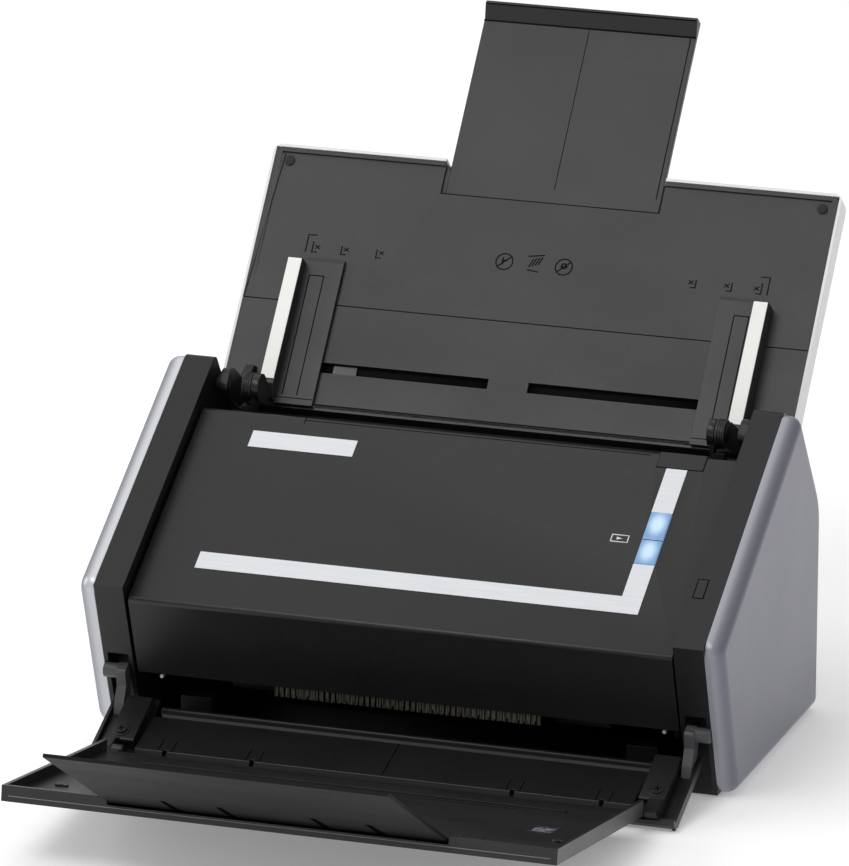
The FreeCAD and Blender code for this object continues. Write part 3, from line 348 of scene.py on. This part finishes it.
GLASS = clear_glass()
TYRE = moulded("tyre_rubber", (0.016, 0.016, 0.017), (0.03, 0.03, 0.031), 0.66, 0.00008, 1500, 0.1)
GEAR = moulded("gear_nylon", (0.60, 0.585, 0.53), (0.68, 0.665, 0.61), 0.42, 0.00001, 1500, 0.0)
GREY = moulded("mid_grey_plastic", (0.050, 0.051, 0.054), (0.072, 0.073, 0.077), 0.36, 0.00003)
for node, finish, width in (
    ("lower_guide", PATH, 0), ("upper_guide", PATH, 0), ("lower_sensor", PATH, 0.3),
    ("upper_sensor", PATH, 0.3), ("lower_glass", GLASS, 0.1), ("upper_glass", GLASS, 0.1),
    ("feed_shaft", STEEL, 0), ("exit_shaft", STEEL, 0), ("pick_shaft", STEEL, 0),
    ("feed_tyres", TYRE, 0.3), ("exit_tyres", TYRE, 0.3), ("pick_tyre", TYRE, 0.3),
    ("idler_gear", GEAR, 0), ("motor_pinion", STEEL, 0), ("rack_pinion", GEAR, 0),
    ("brake_roller", TYRE, 0.3), ("feed_pinch", GREY, 0.3), ("exit_pinch", GREY, 0.3),
    ("rack_bar", STEEL, 0.2), ("drive_motor", STEEL, 0.4), ("dc_inlet", PATH, 0.2),
    ("usb_port", STEEL, 0.2), ("guide_slider_left", PATH, 0.2), ("guide_slider_right", PATH, 0.2),
):
    dress(node, finish, width, 45)


# Control board: green lacquer over copper, with black chips.  It lies on posts in the
# base and is hidden once the covers are on.
def board_lacquer():
    finish = Finish("board_lacquer", Coat_Weight=0.4)
    tracks = finish.ramp(finish.grain(420, 1.0, (1, 0.1, 1)), 0.48, 0.52)
    colour = finish.blend(tracks, (0.012, 0.09, 0.04, 1), (0.02, 0.14, 0.06, 1))
    relief = finish.bumps(tracks, 0.00003)
    return finish.feed(Base_Color=colour, Roughness=tracks * 0.1 + 0.3, Normal=relief)


dress("main_board", board_lacquer(), 0.1)

# Feed unit: the near-black cover over the paper path, in satin plastic.  The release
# lever is in the same plastic, and the trim and the name plate are silver foil.
CASE = moulded(
    "case_plastic", (0.0070, 0.0071, 0.0076), (0.0105, 0.0107, 0.0113), 0.3, 0.000022, 3600, 0.5
)
dress("feed_cover", CASE, 0.5, 40)
dress("release_lever", CASE, 0.3)
cover_top = bench("feed_cover", COVER_TILT)
cover_points = [cover_top.inverted() @ v.co for v in frame["nodes"]["feed_cover"].data.vertices]
lid_z = max(p.z for p in cover_points) / MM
lid_end = max(p.y for p in cover_points if p.z > (lid_z - 4) * MM) / MM
lid_start = lid_end - 117


def brushed_foil():
    """The silver printed foil of the trim and the name plate."""
    finish = Finish("brushed_foil", Metallic=0.15)
    lines = finish.ramp(finish.grain(900, 3.0, (0.05, 1, 1)), 0.3, 0.7)
    colour = finish.blend(lines, (0.70, 0.72, 0.75, 1), (0.77, 0.785, 0.81, 1))
    colour = finish.blend(finish.grain(30) * 0.2, colour, (0.66, 0.675, 0.71, 1))
    relief = finish.bumps(lines, 0.000008)
    return finish.feed(Base_Color=colour, Roughness=lines * 0.1 + 0.3, Normal=relief)


FOIL = brushed_foil()
dress("name_plate", FOIL, 0.08)
dress("trim_strip", FOIL, 0.08)

# Lid lines: fine dark steps near the lid's rear edge, and a small plain box with a
# pointer in it, in white ink beside the button.
lid_marks = [
    ("box", (-75.3, -74.9), (lid_start + 112, lid_end - 1.5), (lid_z - 0.3, lid_z + 0.02)),
    ("box", (-74.9, 84), (lid_start + 113.7, lid_start + 114.1), (lid_z - 0.3, lid_z + 0.02)),
]
piece("lid_lines", "feed_unit", cover_top, lid_marks, SEAM, 0)
WHITE_INK = moulded("white_ink", (0.70, 0.70, 0.70), (0.80, 0.80, 0.80), 0.5, 0.00001, 2000, 0.0)
mark_y = lid_start + 64.8
ink_z = (lid_z - 0.2, lid_z + 0.03)
ink_marks = [
    ("box", (79.0, 87.0), (mark_y - 2.3, mark_y - 1.8), ink_z),
    ("box", (79.0, 87.0), (mark_y + 1.6, mark_y + 2.1), ink_z),
    ("box", (79.0, 79.5), (mark_y - 1.8, mark_y + 1.6), ink_z),
    ("box", (86.5, 87.0), (mark_y - 1.8, mark_y + 1.6), ink_z),
    ("plan", ((81.6, mark_y - 0.9), (81.6, mark_y + 0.7), (84.4, mark_y - 0.1)), ink_z),
]
piece("button_mark", "feed_unit", cover_top, ink_marks, WHITE_INK, 0)


# Scan button: a translucent blue rocker lit from below by two lamps, so that each half
# has its own pale centre and a deeper blue rim.
def lit_button(low, high):
    finish = Finish("lit_button", Roughness=0.22, Coat_Weight=0.6, Emission_Strength=0.95)
    glow = None
    for share in (0.27, 0.75):
        middle = low.lerp(high, share)
        middle.x = (low.x + high.x) / 2
        vector, squeeze = "ShaderNodeVectorMath", (1.5, 0.85, 1.0)
        away = finish.node(vector, {"operation": "SUBTRACT"}, {0: finish.place, 1: middle})
        squeezed = finish.node(vector, {"operation": "MULTIPLY"}, {0: away, 1: squeeze})
        far = finish.node(vector, {"operation": "LENGTH"}, {0: squeezed}, out="Value")
        fade = {"Value": far, "From Min": 0.0015, "From Max": 0.0078, "To Min": 1.0, "To Max": 0.0}
        spot = finish.node("ShaderNodeMapRange", {"interpolation_type": "SMOOTHSTEP"}, fade)
        glow = spot if glow is None else glow + spot
    speckle = finish.grain(900, 2.0) * 0.14
    share = glow + speckle
    colour = finish.blend(share, (0.02, 0.05, 0.10, 1), (0.06, 0.15, 0.28, 1))
    light = finish.blend(share, (0.13, 0.27, 0.50, 1), (0.56, 0.70, 0.80, 1))
    relief = finish.bumps(finish.grain(700), 0.00001)
    return finish.feed(Base_Color=colour, Emission_Color=light, Normal=relief)


dress("scan_button", lit_button(*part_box("scan_button")), 0.35)
button_low, button_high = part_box("scan_button")
button_x = (button_low.x / MM, button_high.x / MM)
button_face = [("box", button_x, (mark_y - 0.2, mark_y + 0.2), (lid_z + 0.4, lid_z + 0.93))]
GROOVE = moulded("button_groove", (0.01, 0.03, 0.08), (0.015, 0.04, 0.1), 0.5, wear=0.0)
piece("button_split", "scan_button", cover_top, button_face, GROOVE, 0)

# Static brush: a row of conductive fibre tufts, clamped under the front edge of the
# feed unit.  Pale strips along its near side are painted glints on the fibre tips.
BRUSH = moulded("brush_fibre", (0.02, 0.018, 0.014), (0.10, 0.09, 0.07), 0.8, 0.0001, 5000, 0.0)
dress("static_brush", BRUSH, 0.1)
brush_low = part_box("static_brush")[0]
glints = []
for n in range(92):
    x = brush_low.x / MM + 1 + n * 1.31 + 0.3 * math.sin(n * 2.7)
    drop = 0.9 + 0.9 * math.sin(n * 1.9)
    y = brush_low.y / MM + 0.2
    z = brush_low.z / MM
    glints.append(("box", (x, x + 0.5), (y - 0.25, y + 0.2), (z + drop, z + 5.2)))
# Painted glints: pale strips on the tips, standing for light caught by the fibres.
TIP_GLINTS = moulded("brush_tip_glint_paint", (0.14, 0.13, 0.10), (0.30, 0.28, 0.22), 0.7, 0.0001, 4000, 0.0)
piece("brush_tip_glints", "feed_unit", flat_plane, glints, TIP_GLINTS, 0)

# Chute: a dark liner in a pale outer shell.  The liner's side margins turn up in a
# narrow bevel, two long slots let the guides through, and small bars mark the widths.
SHELL = moulded("pale_shell_plastic", (0.70, 0.70, 0.69), (0.78, 0.78, 0.77), 0.3, 0.00002, 3000, 0.15)
LINER = moulded("liner_plastic", (0.0146, 0.0147, 0.0155), (0.0202, 0.0203, 0.0212), 0.36, 0.00003)
LINER_DARK = moulded("liner_shadow", (0.007, 0.007, 0.0075), (0.010, 0.010, 0.0105), 0.5, wear=0.0,
                     Specular_IOR_Level=0.0)
CHUTE_TILT = 50.4
dress("chute_shell", SHELL, 0.5)
dress("chute_liner", LINER, 0.25)
dress("chute_bumpers", RUBBER, 0.5)
for side in ("left", "right"):
    dress(f"chute_arm_{side}", BLACK, 0.6)
chute = bench("chute_liner", CHUTE_TILT, -21, -2.2)
chute_seams = [
    ("box", (-131.6, 131.6), (27.9, 28.4), (-0.2, 0.03)),
    ("box", (-131.4, 131.4), (-20.9, -20.3), (-0.2, 0.03)),
    ("box", (-51.4, 51.4), (87.0, 87.45), (-0.2, 0.03)),
]
piece("chute_seams", "chute", chute, chute_seams, LINER_DARK, 0)
bevel_walls = []
for turn in (-1, 1):
    floor_edge = ((28.2, 131.8), (44, 130.6), (76, 129.0), (99.5, 127.6))
    for (y0, x0), (y1, x1) in zip(floor_edge, floor_edge[1:]):
        outline = [(turn * x0, y0), (turn * 131.9, y0), (turn * 131.9, y1), (turn * x1, y1)]
        bevel_walls.append(("plan", outline, (-0.3, 0.7)))
piece("chute_margin", "chute", chute, bevel_walls, LINER, 0.5)

# Charcoal plates on the frame close a gap beside the chute's lower end: a dark sheet standing in for the
# shade in that gap.
gap_shade_plates = []
for turn in (-1, 1):
    span = tuple(sorted((turn * 116, turn * 129.5)))
    gap_shade_plates.append(("box", span, (-23.2, -22.1), (-8.8, -0.6)))
    gap_shade_plates.append(("box", span, (-29.0, -22.1), (-8.8, -7.6)))
piece("gap_shade_plates", "frame", chute, gap_shade_plates, CHARCOAL, 0.1)

INK = moulded("moulded_mark", (0.004, 0.004, 0.0045), (0.006, 0.006, 0.0065), 0.6, wear=0.0,
              Specular_IOR_Level=0.1)


def ring(x, y, radius, thick=0.62, steps=28):
    """A flat raised ring on the chute, as short straight bars."""
    bars = []
    for n in range(steps):
        turns = [2 * math.pi * (n + k) / steps for k in (0, 1)]
        inner, outer = radius - thick, radius
        corners = [(x + r * math.cos(t), y + r * math.sin(t)) for r, t in
                   ((inner, turns[0]), (outer, turns[0]), (outer, turns[1]), (inner, turns[1]))]
        bars.append(("plan", corners, (-0.1, 0.06)))
    return bars


def bar(start, end, thick=0.6):
    """A straight raised bar on the chute from one point to another."""
    a, b = Vector(start), Vector(end)
    side = Vector((a.y - b.y, b.x - a.x)).normalized() * thick / 2
    return ("plan", [tuple(a - side), tuple(b - side), tuple(b + side), tuple(a + side)], (-0.1, 0.06))


marks = ring(-14.8, 57, 4.2) + ring(13, 57, 4.2)
marks += [bar((-17.4, 54.6), (-12.2, 59.4)), bar((-16.2, 57.6), (-13.4, 57.6))]
marks.append(bar((-15.6, 55.6), (-15.6, 59.2)))
marks += [bar((10.4, 54.6), (15.6, 59.4)), bar((11.4, 57.2), (14.8, 57.2))] + ring(13, 57.4, 1.5)
for n in range(4):
    marks.append(bar((-3.2 + n * 1.4, 55.4 + n * 0.5), (-1.6 + n * 1.4, 59.6 + n * 0.4)))
marks += [bar((-4.2, 60.6), (3.2, 61.8)), bar((-3.6, 54.2), (1.8, 53.4))]
for turn in (-1, 1):
    for x, tall in ((108, 8.6), (105, 5.6), (91.3, 4.6), (74.7, 4.4)):
        marks.append(bar((turn * x, 52.6), (turn * x, 52.6 + tall), 0.6))
    for x in (105, 91.3, 74.7):
        marks.append(bar((turn * x, 53.0), (turn * (x - 2.4), 53.0), 0.5))
        marks.append(bar((turn * (x - 1.2), 54.6), (turn * (x - 3.4), 56.4), 0.5))
        marks.append(bar((turn * (x - 3.4), 54.6), (turn * (x - 1.2), 56.4), 0.5))
    marks.append(bar((turn * 108, 61.2), (turn * 103.8, 61.2), 0.5))
piece("chute_marks", "chute", chute, marks, INK, 0)
glint = [("box", (-83, -72), (-4.8, -0.4), (-2.0, -1.7))]
SPRING = bare_metal("spring_steel", (0.10, 0.10, 0.105), 0.45)
piece("slot_springs", "chute", chute, glint, SPRING, 0.1)
# A dark sheet under the two slots: painted shade seen through them.
slot_shade_sheet = [("box", (x0, x1), (-5.0, 0.0), (-2.55, -2.3)) for x0, x1 in ((-88.9, -10), (8.6, 87.5))]
piece("slot_shade_sheet", "chute", chute, slot_shade_sheet, LINER_DARK, 0)
shell_back = bench("chute_shell", CHUTE_TILT, -21, -9)
back_details = [("box", (-100, 100), (y, y + 1.2), (-9.25, -8.9)) for y in (2, 6, 10, 14)]
back_details += [("box", (-44, 44), (70, 71), (-9.2, -8.9)), ("box", (-44, 44), (88, 89), (-9.2, -8.9))]
piece("shell_ribs", "chute", shell_back, back_details, SHELL, 0.2)

# Chute extension: a thin charcoal slide that pulls out of the chute's end.  A fine seam
# runs between its two halves, and its far edge turns up in a lip.
EXTENSION = moulded(
    "extension_plastic", (0.0132, 0.0133, 0.0141), (0.0182, 0.0183, 0.0192), 0.33, 0.000025
)
dress("chute_extension", EXTENSION, 0.3)
extension_top = -2.6
seam = [
    ("box", (-0.18, 0.18), (95, 176), (extension_top - 0.2, extension_top + 0.03)),
    ("box", (-50, 50), (175.2, 175.9), (extension_top - 0.2, extension_top + 0.35)),
    ("box", (47.4, 47.9), (95, 175), (extension_top - 0.2, extension_top + 0.03)),
]
piece("extension_seam", "chute_extension", chute, seam, LINER_DARK, 0)
lip_line = [("box", (-49.6, 49.6), (182.0, 182.6), (0.9, 1.17))]
piece("extension_lip_line", "chute_extension", chute, lip_line, LINER_DARK, 0)

# Side guides: charcoal leaves with two grooves, a fence and an off-white glide strip.
# Each hub is a stack of thin rings on the hinge line.
STRIP = moulded("glide_strip", (0.80, 0.80, 0.77), (0.86, 0.86, 0.83), 0.28, 0.00001, 2400, 0.1)
GUIDE = moulded("guide_plastic", (0.0185, 0.0185, 0.0195), (0.026, 0.026, 0.027), 0.35, 0.00003)
hinge_line = next(j for j in frame["joints"] if j["name"] == "chute_hinge")["pos_m"]
pivot = chute.inverted() @ Vector(hinge_line)
pivot_at = (pivot.y / MM, pivot.z / MM)


def outward(turn, low, high):
    """The X span from low to high on the left side, turn -1, or on the right side, turn 1."""
    return tuple(sorted((turn * low, turn * high)))


for turn, side in ((-1, "left"), (1, "right")):
    dress(f"side_guide_{side}", GUIDE, 0.3)
    dress(f"guide_strip_{side}", STRIP, 0.15)
    body = f"side_guide_{side}"
    groove_z = (1.9, 2.24)
    grooves = [("box", outward(turn, x, x + 0.5), (-18, 40.6), groove_z) for x in (95.6, 102.4)]
    grooves.append(("box", outward(turn, 95.6, 102.9), (40.4, 40.9), groove_z))
    grooves.append(("box", outward(turn, 88.2, 105.3), (-19.6, -19.2), groove_z))
    piece(f"guide_grooves_{side}", body, chute, grooves, LINER_DARK, 0)
    ring_x = [outward(turn, 107.9 + n * 1.1, 108.5 + n * 1.1) for n in range(3)]
    rings = [("rod", span, pivot_at, 6.55) for span in ring_x]
    piece(f"guide_hub_{side}", body, chute, rings, BLACK, 0.15)
    cap = [("rod", outward(turn, 111.4, 112.0), pivot_at, 3.6)]
    cap.append(("rod", outward(turn, 112.0, 112.3), pivot_at, 2.0))
    piece(f"guide_hub_cap_{side}", body, chute, cap, BLACK, 0.15)
    collar = [("rod", outward(turn, 117.2, 117.75), pivot_at, 4.4)]
    collar.append(("rod", outward(turn, 122.3, 123.4), pivot_at, 4.4))
    piece(f"hinge_collar_{side}", "frame", chute, collar, BLACK, 0.2)

# Stacking cover: the fold-down front, with a smooth sloping ramp inside.  Mid grey arms
# carry it, and a hood with one dark screw hides each arm's foot.
dress("stacker_cover", CASE, 0.5)
dress("stacker_ramp", PATH, 0.3)
DOOR_TILT = 24
for side in ("left", "right"):
    dress(f"door_arm_{side}", GREY, 0.35)
    dress(f"arm_hood_{side}", CASE, 0.35)
dress("hood_screws", BLACK, 0.2)
pin = next(j for j in frame["joints"] if j["name"] == "stacking_cover_hinge")["pos_m"]
door = Matrix.Translation(Vector(pin)) @ Matrix.Rotation(math.radians(DOOR_TILT), 4, "X")
ramp_lines = [
    ("side", (-0.15, 0.15), ((-13.2, -12.3), (-13.2, -12.47), (-37.8, -8.72), (-37.8, -8.55))),
]
short_line = ((-30, -9.8), (-30, -9.95), (-37.8, -8.72), (-37.8, -8.56))
for x in (-99, -59, 59, 99):
    ramp_lines.append(("side", (x - 3.2, x - 2.9), short_line))
    ramp_lines.append(("side", (x + 2.9, x + 3.2), short_line))
piece("ramp_lines", "stacking_cover", door, ramp_lines, SEAM, 0)
recess = []
for x in (-121.6, 121.6):
    for angle in (0.4, 0.4 + math.pi / 2):
        dx, dy = 1.7 * math.cos(angle), 1.7 * math.sin(angle)
        ox, oy = -dy / 1.7 * 0.28, dx / 1.7 * 0.28
        corners = [(x - dx - ox, -29 - dy - oy), (x + dx - ox, -29 + dy - oy),
                   (x + dx + ox, -29 + dy + oy), (x - dx + ox, -29 - dy + oy)]
        recess.append(("plan", corners, (-6.4, -6.17)))
piece("screw_recess", "stacking_cover", door, recess, SEAM, 0)
boss = [("disc", (x, -29), (-7.6, -7.0), 3.8) for x in (-121.6, 121.6)]
piece("screw_bosses", "stacking_cover", door, boss, CASE, 0.25)
lip_low, lip_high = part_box("base_cover")
front_screws = []
for x in (-114.6, 114.6):
    front_screws.append(("disc", (x, 1.2), (-3.6, -0.2), 1.0))
lip_tilt = Matrix.Rotation(math.radians(70), 4, "X")
lip_front = Matrix.Translation((0, lip_low.y + 0.0075, lip_high.z + 0.011)) @ lip_tilt
piece("front_screws", "frame", lip_front, front_screws, STEEL, 0.3)

# Stacker tray and flap: thin charcoal mouldings.  The tray has a raised band, small
# oval stops and a clear window near its corner; the flap has four slots at its root.
TRAY = moulded("tray_plastic", (0.0150, 0.0150, 0.0157), (0.0215, 0.0215, 0.0222), 0.33, 0.00003)
dress("stacker_tray", TRAY, 0.35)
# The flap's plastic is a darker, duller copy of the tray's: painted shade, the same plastic in less
# light.
FLAP_SHADED = moulded("flap_plastic_shaded", (0.0045, 0.0045, 0.0049), (0.0068, 0.0068, 0.0073), 0.5,
               Specular_IOR_Level=0.12)
dress("stacker_flap", FLAP_SHADED, 0.3)
TRAY_TILT = -9
knuckle = next(j for j in frame["joints"] if j["name"] == "stacker_tray_hinge")["pos_m"]
tray = Matrix.Translation(Vector(knuckle)) @ Matrix.Rotation(math.radians(TRAY_TILT), 4, "X")
tray_lines = [
    ("box", (-119.6, 119.6), (-12.3, -12.0), (0.7, 0.94)),
    ("box", (-119.6, 95), (-33.4, -33.1), (0.7, 0.94)),
    ("box", (81.5, 81.8), (-128, -100), (0.7, 0.94)),
    ("box", (-81.8, -81.5), (-128, -100), (0.7, 0.94)),
    ("box", (-75, 75), (-34.6, -34.2), (0.7, 0.94)),
]
piece("tray_lines", "stacker_tray", tray, tray_lines, SEAM, 0)
# A pale thin strip along the tray lip's top edge is a painted highlight.
LIP_HIGHLIGHT = moulded("lip_highlight_paint", (0.14, 0.142, 0.15), (0.20, 0.202, 0.21), 0.3, wear=0.0)
tray_points = [tray.inverted() @ v.co for v in frame["nodes"]["stacker_tray"].data.vertices]
lip_y = min(p.y for p in tray_points) / MM
lip_highlight_strip = [
    ("box", (-119, 119), (lip_y - 0.05, lip_y + 0.3), (1.0, 1.35)),
]
piece("tray_lip_highlight", "stacker_tray", tray, lip_highlight_strip, LIP_HIGHLIGHT, 0.05)
stops = []
for x, y in ((110, -92), (-109, -95), (-117, -113), (104, -112)):
    stops.append(("disc", (x, y), (0.6, 1.9), 2.1))
    stops.append(("disc", (x + 2.2, y), (0.6, 1.7), 1.7))
for turn in (-1, 1):
    stops.append(("box", outward(turn, 84, 90), (-127.9, -120), (0.7, 3.6)))
    stops.append(("box", outward(turn, 108, 120.4), (-127.9, -123.4), (0.7, 4.6)))
    stops.append(("box", outward(turn, 90.4, 107.6), (-127.9, -126.9), (0.7, 4.0)))
piece("tray_stops", "stacker_tray", tray, stops, TRAY, 0.4)


def clear_sticker():
    finish = Finish("window_sticker", Coat_Weight=0.5)
    print_area = finish.ramp(finish.grain(260, 2.0), 0.4, 0.62)
    colour = finish.blend(print_area, (0.10, 0.11, 0.14, 1), (0.32, 0.34, 0.40, 1))
    return finish.feed(Base_Color=colour, Roughness=print_area * 0.2 + 0.2)


sticker = [("box", (93.2, 102.2), (-76.5, -66.5), (0.7, 1.0))]
piece("tray_sticker", "stacker_tray", tray, sticker, clear_sticker(), 0.1)
rim_z = (0.7, 1.25)
rim = [
    ("box", (92.0, 103.6), (-77.9, -77.3), rim_z),
    ("box", (92.0, 103.6), (-65.7, -65.1), rim_z),
    ("box", (92.0, 92.6), (-77.3, -65.7), rim_z),
    ("box", (103.0, 103.6), (-77.3, -65.7), rim_z),
]
piece("sticker_rim", "stacker_tray", tray, rim, TRAY, 0.15)
flap_pin = next(j for j in frame["joints"] if j["name"] == "stacker_flap_hinge")["pos_m"]
flap = Matrix.Translation(Vector(flap_pin)) @ Matrix.Rotation(math.radians(-30.5), 4, "X")
slots = []
for x in (-44.4, -19.6, 21.4, 45.7):
    corners = [(x - 1.2, -1.5), (x + 2.6, -1.5), (x + 0.6, -22), (x - 1.8, -22)]
    slots.append(("plan", corners, (-0.86, -0.6)))
    slots.append(("plan", corners, (0.6, 0.86)))
slots.append(("box", (-73.6, 73.6), (-90.4, -90.0), (0.6, 0.84)))
slots.append(("box", (-73.6, 73.6), (-4.2, -3.8), (0.6, 0.84)))
piece("flap_slots", "stacker_flap", flap, slots, SEAM, 0)


# Floor: a plain pale matt table top under the whole machine, with a faint glow that
# fills the shadows.
def pale_floor():
    finish = Finish("pale_floor", Roughness=0.95, Specular_IOR_Level=0.1,
                    Emission_Color=(1, 1, 1, 1), Emission_Strength=0.22)
    cloud = finish.grain(1.5, 2.0)
    colour = finish.blend(cloud, (0.93, 0.93, 0.93, 1), (0.95, 0.95, 0.95, 1))
    return finish.feed(Base_Color=colour)


floor_mesh = bpy.data.meshes.new("floor")
half, below = 30.0, -0.0002
corners = [(x, y, below) for x, y in ((-half, -half), (half, -half), (half, half), (-half, half))]
floor_mesh.from_pydata(corners, [], [(0, 1, 2, 3)])
floor_mesh.materials.append(pale_floor())
floor = bpy.data.objects.new("floor", floor_mesh)
bpy.context.scene.collection.objects.link(floor)


# Light: one broad soft box overhead, one from the left, one high in front, and a pale
# room round them.
def soft_box(name, place, aim, size, power):
    lamp = bpy.data.lights.new(name, "AREA")
    lamp.shape = "RECTANGLE"
    lamp.size, lamp.size_y = size
    lamp.energy = power
    item = bpy.data.objects.new(name, lamp)
    item.location = place
    item.rotation_mode = "QUATERNION"
    item.rotation_quaternion = (Vector(aim) - Vector(place)).to_track_quat("-Z", "Y")
    bpy.context.scene.collection.objects.link(item)


soft_box("top_light", (-0.7, 0.55, 2.3), (0, 0.0, 0.1), (2.6, 2.0), 9.5)
soft_box("left_light", (-2.6, -0.3, 0.9), (0, 0, 0.12), (1.4, 1.4), 28)
soft_box("front_light", (-0.8, -1.6, 2.6), (0, 0, 0.12), (1.6, 1.2), 24)
world = bpy.data.worlds.new("room")
world.use_nodes = True
world.node_tree.nodes["Background"].inputs["Color"].default_value = (1.0, 1.0, 1.0, 1)
world.node_tree.nodes["Background"].inputs["Strength"].default_value = 0.55
bpy.context.scene.world = world
bpy.context.scene.view_settings.view_transform = "Standard"

# Camera: a long lens in front of the machine and to its right, looking down 17 degrees
# and turned 18 degrees to the left.
azimuth, elevation, roll = (math.radians(angle) for angle in (18.35, 16.97, 0.24))
level = math.cos(elevation)
forward = Vector((-math.sin(azimuth) * level, math.cos(azimuth) * level, -math.sin(elevation)))
right = Vector((math.cos(azimuth), math.sin(azimuth), 0))
up = right.cross(forward)
right, up = (
    right * math.cos(roll) + up * math.sin(roll),
    up * math.cos(roll) - right * math.sin(roll),
)
rear_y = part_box("side_panel_right")[1].y
target = Vector((0, rear_y - 0.060, 0.110))
lens = bpy.data.cameras.new("camera")
focal_length, frame_height, sensor_width = 8590.75, 866, 36
lens.lens = focal_length / frame_height * sensor_width
lens.sensor_width = sensor_width
lens.clip_start = 0.1
lens.clip_end = 200
camera = bpy.data.objects.new("camera", lens)
camera.rotation_mode = "QUATERNION"
camera.rotation_quaternion = Matrix((right, up, -forward)).transposed().to_quaternion()
distance, shift_right, shift_up = 3.7595, -0.01748, 0.01867
camera.location = target - distance * forward + shift_right * right + shift_up * up
bpy.context.scene.collection.objects.link(camera)
bpy.context.scene.camera = camera
